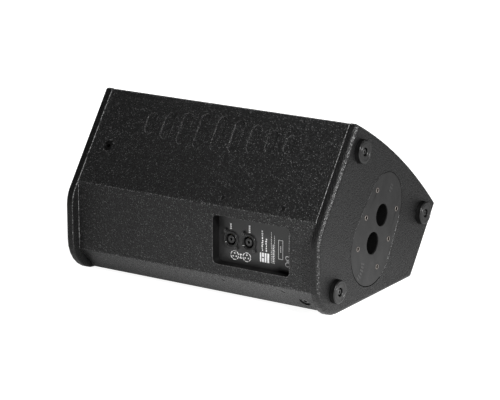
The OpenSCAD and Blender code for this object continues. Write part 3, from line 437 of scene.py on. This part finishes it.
def rounded_disc(radius, height, edge, hole=0.0):
    """Profile of a disc or ring with rounded upper edges, for lathe()."""
    curve = [(radius - edge + edge * math.sin(a), height - edge + edge * math.cos(a))
             for a in (math.pi / 2 * k / 5 for k in range(6))]
    outer = [(radius, 0.0)] + curve[::-1]
    if hole:
        inner = [(hole + edge - edge * math.sin(a), height - edge + edge * math.cos(a))
                 for a in (math.pi / 2 * k / 4 for k in range(5))]
        return outer + inner + [(hole, 0.0)]
    return [(0.0, 0.0)] + outer + [(0.0, height)]


def tube_between(a, b, radius):
    """Eight-sided tube from a to b, run on a little at both ends."""
    along = (b - a).normalized()
    side = Vector((0, 0, 1)) if abs(along.z) < 0.9 else Vector((1, 0, 0))
    n = (b - a).length + radius * 0.4
    verts = [(radius * math.cos(k * math.pi / 4), radius * math.sin(k * math.pi / 4), z)
             for z in (-radius * 0.4, n) for k in range(8)]
    faces = [[k, (k + 1) % 8, 8 + (k + 1) % 8, 8 + k] for k in range(8)]
    faces += [list(range(8))[::-1], list(range(8, 16))]
    return moved((verts, faces), placed(a, along, side))


def beads(line, radius):
    """Tubes along a polyline, one part for each stretch."""
    return [tube_between(a, b, radius) for a, b in zip(line, line[1:])]


def band_faces(n):
    """Faces of a closed band whose section has four corners, each a ring of n points."""
    return [[r * n + k, r * n + (k + 1) % n, (r + 1) % 4 * n + (k + 1) % n, (r + 1) % 4 * n + k]
            for r in range(4) for k in range(n)]


def slab(outline, height, edge):
    """Flat shape [(x, y), ...] raised to height with a small bevelled top edge."""
    n = len(outline)
    cx = sum(p[0] for p in outline) / n
    cy = sum(p[1] for p in outline) / n

    def ring(z, shrink):
        made = []
        for x, y in outline:
            d = math.hypot(x - cx, y - cy)
            k = 1 - shrink / d if d > shrink else 0
            made.append((cx + (x - cx) * k, cy + (y - cy) * k, z))
        return made

    verts = ring(0, 0) + ring(height - edge, 0) + ring(height, edge)
    faces = [list(range(n))[::-1], list(range(2 * n, 3 * n))]
    for row in (0, n):
        faces += [[row + k, row + (k + 1) % n, row + n + (k + 1) % n, row + n + k]
                  for k in range(n)]
    return verts, faces


def circle_pts(cx, cy, r, n=32, start=0.0, turn=2 * math.pi):
    """n points round a circle, or along an arc of it with both ends."""
    full = abs(turn - 2 * math.pi) < 1e-6
    return [(cx + r * math.cos(start + turn * k / (n if full else n - 1)),
             cy + r * math.sin(start + turn * k / (n if full else n - 1))) for k in range(n)]


def rect_pts(x0, y0, x1, y1, r=0.0, n=5):
    """Outline of a rectangle, with n points on each corner of radius r."""
    if r <= 0:
        return [(x0, y0), (x1, y0), (x1, y1), (x0, y1)]
    pts = []
    for cx, cy, a in ((x1 - r, y1 - r, 0), (x0 + r, y1 - r, 90), (x0 + r, y0 + r, 180),
                      (x1 - r, y0 + r, 270)):
        pts += circle_pts(cx, cy, r, n, math.radians(a), math.pi / 2)
    return pts

# ---------------------------------------------------------------- CAD nodes

# Nodes that look unlike the rest of their slot; the end panels' darker paint is painted shade, the pole cups'
# near-black partly so.
OTHER_MATERIAL = {"end_panel_bottom": "end_paint_shaded_highlit", "end_panel_top": "end_paint_shaded_highlit",
                  "socket_contacts": "dull_brass",
                  "pole_cup_3deg": "black_and_painted_shade", "pole_cup_7deg": "black_and_painted_shade"}
# Nodes whose sharp edges catch the light.
SOFTENED = ["pole_plate", "connector_frame", "connector_plate", "rear_panel", "grip_cup",
            "woofer_basket", "horn", "input_socket", "link_socket"]
SOFT_EDGE = 0.0006          # width of their bevels
FLAT_ANGLE = 32             # degrees between two faces that stay flat-shaded


def dress_cad():
    """Gives every CAD node its material, small bevels and smooth shading between flat faces."""
    slots = {s["node"]: s["material_slot"] for s in frame["record"]["subparts"]}
    for name, obj in NODES.items():
        obj.data.materials.clear()
        obj.data.materials.append(MATS[OTHER_MATERIAL.get(name, slots[name])])
        weld = obj.modifiers.new("weld", "WELD")
        weld.merge_threshold = 0.00001
        if name in SOFTENED:
            soft = obj.modifiers.new("soft_edges", "BEVEL")
            soft.width = SOFT_EDGE
            soft.segments = 2
            soft.limit_method = "ANGLE"
            soft.angle_limit = math.radians(50)
        split = obj.modifiers.new("split_normals", "EDGE_SPLIT")
        split.split_angle = math.radians(FLAT_ANGLE)


dress_cad()

# ---------------------------------------------------------------- perforated grille

HOLE_PITCH = 0.0060         # from hole to hole
HOLE_R = 0.0026             # middle to corner of a hole
GRILLE_BORDER = 0.0085      # unpierced strip round the sheet
SHEET_T = 0.0014
LIP_CLEAR = 0.004           # the section's arc starts this far above its lips
DENT = 0.0004               # a point this far below its neighbours is on the inner side


def polyline_at(points, lengths, s):
    """Point on a polyline at the length s from its start."""
    for k in range(1, len(points)):
        if s <= lengths[k] or k == len(points) - 1:
            t = (s - lengths[k - 1]) / (lengths[k] - lengths[k - 1])
            return points[k - 1].lerp(points[k], t)


def grille_section():
    """Outer line of the CAD grille's section, from the lip at the top edge to the lower one."""
    verts = [v.co.copy() for v in NODES["grille"].data.vertices]
    x0 = min(v.x for v in verts)
    ends = [v for v in verts if v.x - x0 < 1e-5]
    top = max(v.dot(UP) for v in ends)
    low = min(v.dot(UP) for v in ends)
    best = {}
    for v in ends:
        key = round(v.dot(UP), 5)
        if key not in best or v.dot(OUT) > best[key].dot(OUT):
            best[key] = v
    lips = [min((v for v in ends if abs(v.dot(UP) - edge) < 1e-5), key=lambda v: v.dot(OUT))
            for edge in (top, low)]
    lip_top = max(lip.dot(OUT) for lip in lips) + LIP_CLEAR
    arc = sorted((v for v in best.values() if v.dot(OUT) > lip_top), key=lambda v: -v.dot(UP))
    return [lips[0]] + outer_side(arc) + [lips[1]]


def outer_side(points):
    """Leaves out points that lie on the sheet's inner side."""
    kept = []
    for k, p in enumerate(points):
        if 0 < k < len(points) - 1:
            a, b = points[k - 1], points[k + 1]
            t = (p - a).dot(b - a) / (b - a).length_squared
            if (p - a.lerp(b, t)).dot(OUT) < -DENT:
                continue
        kept.append(p)
    return kept


def perforated_grille():
    """Sheet with a hexagonal pattern of hexagonal holes, folded back along both long edges."""
    line = grille_section()
    lengths = [0.0]
    for a, b in zip(line, line[1:]):
        lengths.append(lengths[-1] + (b - a).length)
    fold = (line[1] - line[0]).length
    s0, s1 = fold, lengths[-1] - fold
    near, far = s0 + GRILLE_BORDER, s1 - GRILLE_BORDER
    low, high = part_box("grille")
    x0, x1 = low.x, high.x
    corner = HOLE_PITCH / math.sqrt(3)
    rows = int((s1 - s0) / (1.5 * corner)) + 3
    cols = int((x1 - x0) / HOLE_PITCH) + 3
    verts, faces, index = [], [], {}

    def vertex(x, s):
        """Index of the vertex at x and at s along the section, made once."""
        key = (round(x * 1e5), round(s * 1e5))
        if key not in index:
            index[key] = len(verts)
            p = polyline_at(line, lengths, s)
            verts.append((x, p.y, p.z))
        return index[key]

    def on_front(x, s):
        return vertex(min(max(x, x0), x1), min(max(s, s0), s1))

    spots = [(math.sin(k * math.pi / 3), math.cos(k * math.pi / 3)) for k in range(6)]
    for r in range(rows):
        cs = s0 + 1.5 * corner * r - corner
        for c in range(cols):
            cx = x0 + HOLE_PITCH * (c - 1 + 0.5 * (r % 2))
            outer = [on_front(cx + corner * a, cs + corner * b) for a, b in spots]
            if len(set(outer)) < 3:
                continue
            if x0 + GRILLE_BORDER < cx < x1 - GRILLE_BORDER and near < cs < far:
                inner = [on_front(cx + HOLE_R * a, cs + HOLE_R * b) for a, b in spots]
                for k in range(6):
                    j = (k + 1) % 6
                    faces.append([outer[k], outer[j], inner[j], inner[k]])
            else:
                faces.append([v for i, v in enumerate(outer) if v not in outer[:i]])
    for s_edge, s_lip in ((s0, 0.0), (s1, lengths[-1])):
        xs = sorted({round(verts[i][0], 7) for (kx, ks), i in index.items()
                     if ks == round(s_edge * 1e5)})
        steps = [s_edge + (s_lip - s_edge) * t for t in (0, 0.5, 1)]
        for a, b in zip(steps, steps[1:]):
            for xa, xb in zip(xs, xs[1:]):
                faces.append([vertex(xa, a), vertex(xb, a), vertex(xb, b), vertex(xa, b)])
    made = piece("grille_sheet", mesh_of("grille_sheet", verts, faces), "grille_steel",
                 smooth=False)
    solid = made.modifiers.new("sheet", "SOLIDIFY")
    solid.thickness = SHEET_T
    solid.offset = -1
    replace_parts(made, "grille")


perforated_grille()

# ---------------------------------------------------------------- connector plate

INK_T = 0.00012             # thickness of the printed ink
KEY_ANGLES = (20, 155, 250)     # of the key marks round a socket's sleeve


def plate_matrix():
    """Frame on the face of the connector plate: X towards the pole end, Y up, Z out."""
    low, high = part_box("connector_plate")
    return placed(Vector(((low.x + high.x) / 2, high.y, (low.z + high.z) / 2)), REAR, (0, 0, 1))


def ink_piece(name, outlines):
    """Printed shapes, from outlines in millimetres from the plate's middle."""
    parts = [moved(slab([(x / 1000, y / 1000) for x, y in line], INK_T, INK_T / 3), plate_matrix())
             for line in outlines]
    piece(name, joined(name, parts), "ink", smooth=False)


def dashes(x0, x1, y0, y1, rng, low, high, gap):
    """Bars of uneven length one after another along Y."""
    made, y = [], y0
    while y < y1 - low / 2:
        end = min(y + rng.uniform(low, high), y1)
        made.append(rect_pts(x0, y, x1, end))
        y = end + gap
    return made


def frame_lines(x0, y0, x1, y1, w):
    """Four bars of width w that make an open box."""
    return [rect_pts(x0, y0, x0 + w, y1), rect_pts(x1 - w, y0, x1, y1),
            rect_pts(x0 + w, y0, x1 - w, y0 + w), rect_pts(x0 + w, y1 - w, x1 - w, y1)]


def arc_band(cx, cy, r, w, start, turn, n):
    """Outline of an arc of outer radius r and width w."""
    outer = circle_pts(cx, cy, r, n, start, turn)
    return outer + circle_pts(cx, cy, r - w, n, start, turn)[::-1]


def print_marks():
    """Plain bars, boxes and rings in the places where such a plate is printed.

    Everything is in millimetres from the plate's middle, X towards the pole end and Y up.
    """
    rng = random.Random(7)
    ink_piece("print_socket_labels",
              dashes(-53, -50, 16, 27, rng, 2.2, 3.6, 0.8)
              + dashes(-16, -13, 15, 29, rng, 2.2, 3.6, 0.8))

    # two broken rings with three dots in each, and a bar with two feet between them
    ring_y, ring_r, dot_out, dot_r = -28, 8.2, 3.6, 1.3
    rings = []
    for ring_x in (-44, -20):
        for k in range(6):
            rings.append(arc_band(ring_x, ring_y, ring_r, 1.3, k * math.pi / 3 + 0.1, 0.82, 5))
        for k in range(3):
            a = math.pi / 2 + k * math.pi * 2 / 3
            rings.append(circle_pts(ring_x + dot_out * math.cos(a),
                                    ring_y + dot_out * math.sin(a), dot_r, 10))
    rings += [rect_pts(-34.5, -25.5, -29.5, -24), rect_pts(-34.5, -32, -29.5, -30.5),
              rect_pts(-32.7, -30.5, -31.3, -25.5)]
    ink_piece("print_wiring", rings)

    # a block of four bars, one of them cut in two
    block_low, block_high = -31, -15
    ink_piece("print_block", [rect_pts(6, block_low, 8.6, block_high),
                              rect_pts(10.2, block_low, 13.6, -24),
                              rect_pts(10.2, -22, 13.6, block_high),
                              rect_pts(15.4, block_low, 18.6, block_high),
                              rect_pts(20.4, block_low, 24, block_high)])

    # two rows of thick bars with uneven sides
    thick = []
    for x0, x1, row_top in ((9, 12.4, 23), (16.5, 20, 10)):
        for bar in dashes(x0, x1, -12, row_top, rng, 1.2, 4.6, 1.3):
            left, right = rng.uniform(0, 1.6), rng.uniform(0, 1.2)
            (bx0, by0), (bx1, by1) = bar[0], bar[2]
            thick.append(rect_pts(bx0 + left, by0, bx1 - right, by1))
    ink_piece("print_name_bars", thick)

    # three rows of fine bars
    fine, row_x, row_pitch = [], 28, 3.1
    for k, (row_top, wide) in enumerate(((23, 0.6), (2, 1.6), (18, 0.6))):
        x = row_x + row_pitch * k
        fine += dashes(x, x + wide, -30, row_top, rng, 1.2, 3.4, 1.1)
    ink_piece("print_rows", fine)

    ink_piece("print_box", frame_lines(42, -21, 51, 12, 0.8)
              + dashes(45.8, 47.2, -9, 2, rng, 1.8, 3.0, 0.8))

    # two open arcs with a bar between them, and a last row of fine bars
    arcs = [arc_band(59.5, -28, 4.2, 1.3, 0.7, 4.9, 10),
            arc_band(59.5, -17, 4.0, 1.2, 0.7, 4.9, 10), rect_pts(58, -23.4, 63, -22)]
    ink_piece("print_symbols", arcs + dashes(62.4, 63.6, -5, 23, rng, 1.2, 3.0, 1.0))


def socket_details():
    """Rounded flange ring, sleeve lip, core face and key marks on both sockets."""
    rim = rounded_disc(radius=0.0138, height=0.0009, edge=0.00045, hole=0.0122)
    lip = rounded_disc(radius=0.0112, height=0.0007, edge=0.0003, hole=0.01035)
    core = [(0.0024, -0.0011), (0.0024, -0.0007), (0.0028, -0.0003), (0.0048, -0.0003),
            (0.0052, -0.0007), (0.0052, -0.0011)]
    key = slab(rect_pts(-0.0008, 0.0098, 0.0008, 0.0112), 0.0009, 0.0002)
    for node in ("input_socket", "link_socket"):
        mount = Vector(MOUNTS[node]["pos_m"])
        place = placed(Vector((mount.x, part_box(node)[1].y, mount.z)), REAR, (0, 0, 1))
        on_face = place @ Matrix.Translation((0, 0, 0.00002))
        piece(node + "_rim", joined("rim", [moved(lathe(rim, 64), on_face),
                                            moved(lathe(lip, 64), on_face)]),
              "glossy_black")
        piece(node + "_core_face", joined("core", [moved(lathe(core, 48), place)]),
              "core_plastic")
        turned = [place @ Matrix.Rotation(math.radians(a), 4, "Z")
                  @ Matrix.Translation((0, 0, 0.00003)) for a in KEY_ANGLES]
        piece(node + "_keys", joined("keys", [moved(key, matrix) for matrix in turned]),
              "core_plastic", smooth=False)


print_marks()
socket_details()

# ---------------------------------------------------------------- recess

BEAD_R = 0.0004             # radius of a bead with a painted highlight
RIM_OUT = 0.0002            # the rim's bead lies this far outside the recess
SHADE_SHEET_GAP = 0.00004         # from the recess's walls to the outer face of the dark sheet of painted shade
SHADE_SHEET_IN = 0.00035          # and to its inner face
RECESS_GROW = 0.003         # from the record's box of the opening to the recess's walls
RECESS_R = 0.008            # radius of the recess's corners
OPENING = next(o["box_m"] for o in frame["record"]["physics"]["openings"]
               if o["name"] == "connector_recess")


def recess_pieces():
    """Dark sheet on the walls of the recess as painted shade, and a bead with a painted highlight on its left and
    lower rim.
    """
    low, high = Vector(OPENING[0]), Vector(OPENING[1])
    half_w, half_h = (high.x - low.x) / 2 + RECESS_GROW, (high.z - low.z) / 2 + RECESS_GROW
    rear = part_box("rear_panel")[1].y
    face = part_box("connector_plate")[1].y
    place = placed(Vector(((low.x + high.x) / 2, face, (low.z + high.z) / 2)), REAR, (0, 0, 1))
    depth = rear - face

    def outline(inset):
        return rect_pts(-half_w + inset, -half_h + inset, half_w - inset, half_h - inset,
                        RECESS_R - inset, 9)

    rings = [(SHADE_SHEET_GAP, 0.0), (SHADE_SHEET_GAP, depth - 0.0010),
             (SHADE_SHEET_IN, depth - 0.0013), (SHADE_SHEET_IN, 0.0)]
    verts = [(x, y, z) for inset, z in rings for x, y in outline(inset)]
    shade_sheet = moved((verts, band_faces(len(outline(0.0)))), place)
    piece("recess_shade_sheet", joined("recess_shade_sheet", [shade_sheet]), "recess_painted_shade")
    rim = [p for p in outline(-RIM_OUT) if p[0] < half_w - RECESS_R and p[1] < half_h - RECESS_R]
    rim = [(rim[0][0], half_h - RECESS_R)] + rim + [(half_w - RECESS_R, -half_h - RIM_OUT)]
    bead = beads([Vector((*p, depth - 0.0001)) for p in rim], BEAD_R)
    piece("recess_rim_highlight", joined("recess_rim_highlight", [moved(part, place) for part in bead]),
          "dim_painted_highlight_dots")


recess_pieces()

# ---------------------------------------------------------------- painted highlights in the seams

SEAM_TOP = 0.174            # run of the bead along the long wall, from the rear panel's top edge
SEAM_IN = 0.0003            # from the end panel's inner face to the bead's middle
CORNER_CUT = 0.003          # the bead cuts that edge's corner by this much each way


def seam_highlights():
    """Thin bead with a painted highlight where each end panel meets the walls, over the top and the rear."""
    rear_low, rear_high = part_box("rear_panel")
    bevel_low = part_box("bevel_panel")[0]
    ridge = Vector((0, rear_high.y, rear_high.z + 0.0008))
    foot = Vector((0, rear_high.y - (rear_low.z - bevel_low.z), bevel_low.z))
    path = [ridge + OUT * SEAM_TOP, ridge + OUT * CORNER_CUT,
            ridge + Vector((0, -0.0001, -CORNER_CUT)), Vector((0, rear_high.y, rear_low.z + 0.002)),
            foot + Vector((0, 0.002, 0.002))]
    for name, x in (("seam_highlight_pole_end", rear_low.x + SEAM_IN),
                    ("seam_highlight_grip_end", rear_high.x - SEAM_IN)):
        line = [p + Vector((x, 0, 0)) for p in path]
        piece(name, joined(name, beads(line, BEAD_R)), "painted_highlight_dots")


seam_highlights()

# ---------------------------------------------------------------- pole plate

SHADOW_GAP = 0.00004         # from the plate's outline to the painted shadow in its gap
SHADOW_W = 0.0007            # to the shadow's outer side, and more lower down
SHADOW_FLARE = 1.2           # how much more at the lowest point, as a part of the width
SHADOW_PROUD = 0.00004       # the shadow stands this far out of the plate's face
SHADOW_DEEP = 0.0009         # and reaches this far in
PLATE_BEAD_R = 0.00028
OUTLINE_STEP = 0.003        # between points on the plate's outline
EDGE_OUT = 0.0004           # the painted highlights lie this far outside the plate
UPPER_MARK = 0.052          # from the upper pole hole up to the upper mark
LOWER_MARK = 0.050          # from the lower pole hole down to the lower mark
LOWER_MARK_SIDE = 0.006     # and to the side
BAR_PITCH, BAR_W = 0.0056, 0.0028
BAR_SHORT, BAR_LONGER = 0.0085, 0.003
BAR_T = 0.0003
SCREW_GAP = 0.0105          # vertices nearer than this belong to one screw


def egg_outline():
    """Outline of the pole plate's outer face, in order round its middle, as (y, z) vectors."""
    verts = [v.co.copy() for v in NODES["pole_plate"].data.vertices]
    face_x = min(v.x for v in verts)
    middle = centre("pole_plate")
    flat = [Vector((v.y - middle.y, v.z - middle.z)) for v in verts if v.x - face_x < 1e-5]
    hull = [flat[i] for i in convex_hull_2d(flat)]
    outline = []
    for a, b in zip(hull, hull[1:] + hull[:1]):
        steps = max(1, round((b - a).length / OUTLINE_STEP))
        outline += [a.lerp(b, k / steps) for k in range(steps)]
    return face_x, middle, outline


def plate_details():
    """Painted shadow in the gap round the plate, wider lower down, painted highlights beside it, and two plain
    raised marks on it.
    """
    face_x, middle, outline = egg_outline()
    far = max(d.length for d in outline)
    verts = []
    for grow, depth in ((SHADOW_GAP, -SHADOW_PROUD), (SHADOW_W, -SHADOW_PROUD),
                        (SHADOW_W, SHADOW_DEEP), (SHADOW_GAP, SHADOW_DEEP)):
        for d in outline:
            wider = 1 + SHADOW_FLARE * max(0.0, -d.y / far)
            out = d * (1 + grow * wider / d.length)
            verts.append((face_x + depth, middle.y + out.x, middle.z + out.y))
    piece("plate_gap_shadow", mesh_of("plate_gap_shadow", verts, band_faces(len(outline))), "black_and_painted_shade")
    along, across = Vector((OUT.y, OUT.z)), Vector((-OUT.z, OUT.y))
    # each painted highlight runs from low to high, as parts of the plate's half length
    for name, side, low, high, material in (("plate_highlight", 1, -0.62, 0.5, "painted_highlight_dots"),
                                            ("plate_dim_highlight", -1, -0.5, 0.85, "dim_painted_highlight_dots")):
        edge = sorted((d * (1 + EDGE_OUT / d.length) for d in outline
                       if side * d.dot(across) > 0 and low * far < d.dot(along) < high * far),
                      key=lambda d: d.dot(along))
        line = [Vector((face_x, middle.y + d.x, middle.z + d.y)) for d in edge]
        piece(name, joined(name, beads(line, PLATE_BEAD_R)), material)
    upper, lower = (Vector(MOUNTS[m]["pos_m"]) for m in ("pole_socket_3deg", "pole_socket_7deg"))
    raised_bars("plate_mark_upper", face_x, upper + OUT * UPPER_MARK, count=3, fan=0)
    raised_bars("plate_mark_lower", face_x, lower - OUT * LOWER_MARK + UP * LOWER_MARK_SIDE,
                count=6, fan=6)


def raised_bars(name, face_x, where, count, fan):
    """Row of plain raised bars, longer and shorter by turns, each turned fan degrees on."""
    place = placed(Vector((face_x, where.y, where.z)), POLE_END, UP)
    bars = []
    for k in range(count):
        x = (k - (count - 1) / 2) * BAR_PITCH
        half_h = (BAR_SHORT + BAR_LONGER * (k % 2)) / 2
        turn = Matrix.Rotation(math.radians((k - (count - 1) / 2) * fan), 4, "Z")
        outline = rect_pts(x - BAR_W / 2, -half_h, x + BAR_W / 2, half_h, 0.0012)
        bars.append(moved(slab(outline, BAR_T, BAR_T / 3), place @ turn))
    piece(name, joined(name, bars), "core_plastic", smooth=False)


def islands(name, gap):
    """Middles of the separate solids in a node, from its vertices at the pole end."""
    found = []
    end_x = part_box(name)[0].x + 0.0002
    for v in NODES[name].data.vertices:
        if v.co.x > end_x:
            continue
        spot = next((g for g in found if (g[0] - v.co).length < gap), None)
        if spot:
            spot.append(v.co.copy())
        else:
            found.append([v.co.copy()])
    return [(Vector([min(c[i] for c in g) for i in range(3)])
             + Vector([max(c[i] for c in g) for i in range(3)])) / 2 for g in found]


def plate_screws():
    """Worn ring heads, each with a flat dark disc as painted shade in its socket, in place of the CAD screws of
    the pole plate.
    """
    ring = [(0.0030, -0.0003), (0.0030, 0.0002), (0.0035, 0.0006), (0.0043, 0.0005),
            (0.0047, 0.0001), (0.0047, -0.0003)]
    socket = [(0.0, -0.0004), (0.0031, -0.0004), (0.0031, -0.0001), (0.0, -0.0001)]
    face_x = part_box("pole_plate")[0].x
    places = [placed(Vector((face_x, spot.y, spot.z)), POLE_END, UP)
              for spot in islands("pole_plate_screws", SCREW_GAP)]
    rings = joined("plate_screw_rings", [moved(lathe(ring, 40), place) for place in places])
    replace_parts(piece("plate_screw_rings", rings, "plain_screw"), "pole_plate_screws")
    # flat dark disc in each socket: painted shade
    sockets = joined("plate_screw_socket_shade", [moved(lathe(socket, 40), place) for place in places])
    piece("plate_screw_socket_shade", sockets, "black_and_painted_shade")


plate_details()
plate_screws()

# ---------------------------------------------------------------- feet and screws

FOOT_HOLE_R = 0.0072        # radius of the screw's recess
SHOULDER_H = 0.0021         # height of the face ring over the side, whose darker rubber is painted shade
FACE_ROUND = 0.0020         # radius of that ring's rounded edge


def foot_pieces():
    """Turned rubber feet with a rounded shoulder, a fine groove and a deep screw recess.
    The side's darker rubber and the recess's black floor are painted shade.

    Profiles are (radius, height over the end panel).
    """
    low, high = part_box("foot_upper")
    height, radius = high.x - low.x, (high.z - low.z) / 2
    shoulder = height - SHOULDER_H
    side = [(FOOT_HOLE_R, 0.0), (FOOT_HOLE_R, shoulder - 0.00005),
            (radius - 0.0007, shoulder - 0.00005), (radius - 0.0002, 0.0016), (radius, 0.0012),
            (radius, 0.0)]
    face = [(FOOT_HOLE_R, shoulder), (FOOT_HOLE_R, height - 0.0009), (0.0079, height - 0.0002),
            (0.0140, height), (0.0143, height - 0.0004), (0.0149, height - 0.0004),
            (0.0152, height)]
    for k in range(7):
        a = math.pi / 2 * k / 6
        face.append((radius - 0.0028 + FACE_ROUND * math.sin(a),
                     height - FACE_ROUND + FACE_ROUND * math.cos(a)))
    face.append((radius - 0.0008, shoulder))
    floor_shade = [(0.0, 0.0004), (0.0071, 0.0004), (0.0071, 0.0045), (0.0, 0.0045)]
    head = [(0.0, 0.0046), (0.0050, 0.0046), (0.0050, 0.0062), (0.0042, 0.0070),
            (0.0025, 0.0070), (0.0023, 0.0066), (0.0022, 0.0052), (0.0, 0.0052)]
    places = []
    for node in ("foot_upper", "foot_front", "foot_rear"):
        middle = centre(node)
        place = placed(Vector((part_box(node)[1].x, middle.y, middle.z)), POLE_END, UP)
        places.append(place)
        made = piece(node + "_side", joined(node, [moved(lathe(side, 72), place)]),
                     "foot_rubber_shaded")
        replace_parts(made, node)
        piece(node + "_face", joined(node + "_face", [moved(lathe(face, 72), place)]),
              "foot_rubber")
    floor_shades = joined("foot_recess_shade", [moved(lathe(floor_shade, 48), place) for place in places])
    heads = joined("foot_screw_heads", [moved(lathe(head, 48), place) for place in places])
    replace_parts(piece("foot_recess_shade", floor_shades, "black_and_painted_shade"), "foot_washers")
    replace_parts(piece("foot_screw_heads", heads, "black_screw"), "foot_screws")


foot_pieces()

# ---------------------------------------------------------------- camera, floor and light

# Fitted to the cabinet's edges in the photo.
AZIMUTH, ELEVATION, DISTANCE = 213.1, 15.4, 3.89
TARGET = Vector((-0.0010, 0.0130, 0.1297))
LENS = 162.2

SKY = 0.045                 # strength of the sky on the object
FLOOR_HALF = 9
GLOW_MIDDLE = (-0.52, 0.52, 0)      # where the floor is brightest, beyond the pole end
GLOW_NEAR, GLOW_FAR = 0.2, 1.05     # it falls off between these distances from there
GLOW_MOST, GLOW_LEAST = 1.25, 0.2
GLOW_SEEN = 0.95            # least the camera sees, so that the paper is white all over


def make_camera():
    """The photo's own view of the part at rest."""
    a, e = math.radians(AZIMUTH), math.radians(ELEVATION)
    back = Vector((math.sin(a) * math.cos(e), -math.cos(a) * math.cos(e), math.sin(e)))
    data = bpy.data.cameras.new("camera")
    data.sensor_width = 36
    data.lens = LENS
    data.clip_end = 50
    cam = bpy.data.objects.new("camera", data)
    SCENE.collection.objects.link(cam)
    cam.location = TARGET + back * DISTANCE
    cam.rotation_euler = (-back).to_track_quat("-Z", "Y").to_euler()
    SCENE.camera = cam


def make_world():
    """A dim sky on the object, and plain white behind it for the camera."""
    world = bpy.data.worlds.new("studio")
    SCENE.world = world
    world.use_nodes = True
    tree = world.node_tree
    dim = tree.nodes["Background"]
    dim.inputs["Color"].default_value = (1, 1, 1, 1)
    dim.inputs["Strength"].default_value = SKY
    seen = tree.nodes.new("ShaderNodeBackground")
    seen.inputs["Color"].default_value = (1, 1, 1, 1)
    seen.inputs["Strength"].default_value = 1.0
    mix = tree.nodes.new("ShaderNodeMixShader")
    path = tree.nodes.new("ShaderNodeLightPath")
    tree.links.new(path.outputs["Is Camera Ray"], mix.inputs[0])
    tree.links.new(dim.outputs[0], mix.inputs[1])
    tree.links.new(seen.outputs[0], mix.inputs[2])
    tree.links.new(mix.outputs[0], tree.nodes["World Output"].inputs[0])


def make_floor():
    """Paper that glows beyond the pole end and lights the object from there."""
    size = FLOOR_HALF
    floor = bpy.data.objects.new("floor", mesh_of("floor", [
        (-size, -size, 0), (size, -size, 0), (size, size, 0), (-size, size, 0)], [[0, 1, 2, 3]]))
    paper = Shader("floor_paper", Roughness=1.0, Specular_IOR_Level=0.0,
                   Emission_Color=(1, 1, 1, 1))
    paper.colour(paper.mix(paper.noise(2, 2), grey(0.48), grey(0.5)))
    offset = paper.node("ShaderNodeVectorMath", {0: paper.place, 1: GLOW_MIDDLE},
                        operation="SUBTRACT").outputs[0]
    far = paper.node("ShaderNodeVectorMath", {0: offset}, operation="LENGTH").outputs["Value"]
    near = paper.node("ShaderNodeMapRange", {"Value": far, "From Min": GLOW_NEAR,
                      "From Max": GLOW_FAR, "To Min": GLOW_MOST, "To Max": GLOW_LEAST},
                      interpolation_type="SMOOTHSTEP").outputs[0]
    seen_floor = paper.node("ShaderNodeLightPath").outputs["Is Camera Ray"]
    glow = paper.math("MAXIMUM", near, paper.math("MULTIPLY", seen_floor, GLOW_SEEN))
    paper.put(paper.bsdf.inputs["Emission Strength"], glow)
    floor.data.materials.append(paper.mat)
    SCENE.collection.objects.link(floor)


def area_light(name, place, size, power):
    """Rectangular light turned to the middle of the cabinet."""
    data = bpy.data.lights.new(name, "AREA")
    data.shape = "RECTANGLE"
    data.size, data.size_y = size
    data.energy = power
    obj = bpy.data.objects.new(name, data)
    SCENE.collection.objects.link(obj)
    obj.location = place
    obj.rotation_euler = (Vector((0, 0, 0.15)) - Vector(place)).to_track_quat("-Z", "Y").to_euler()


make_camera()
make_world()
make_floor()
area_light("overhead", (0.0, 0.4, 3.4), (3.4, 3.4), 12)
area_light("front_fill", (1.3, -2.3, 1.6), (1.2, 1.2), 45)
area_light("key", (-1.95, 1.1, 1.45), (0.3, 0.3), 105)
SCENE.view_settings.view_transform = "Standard"
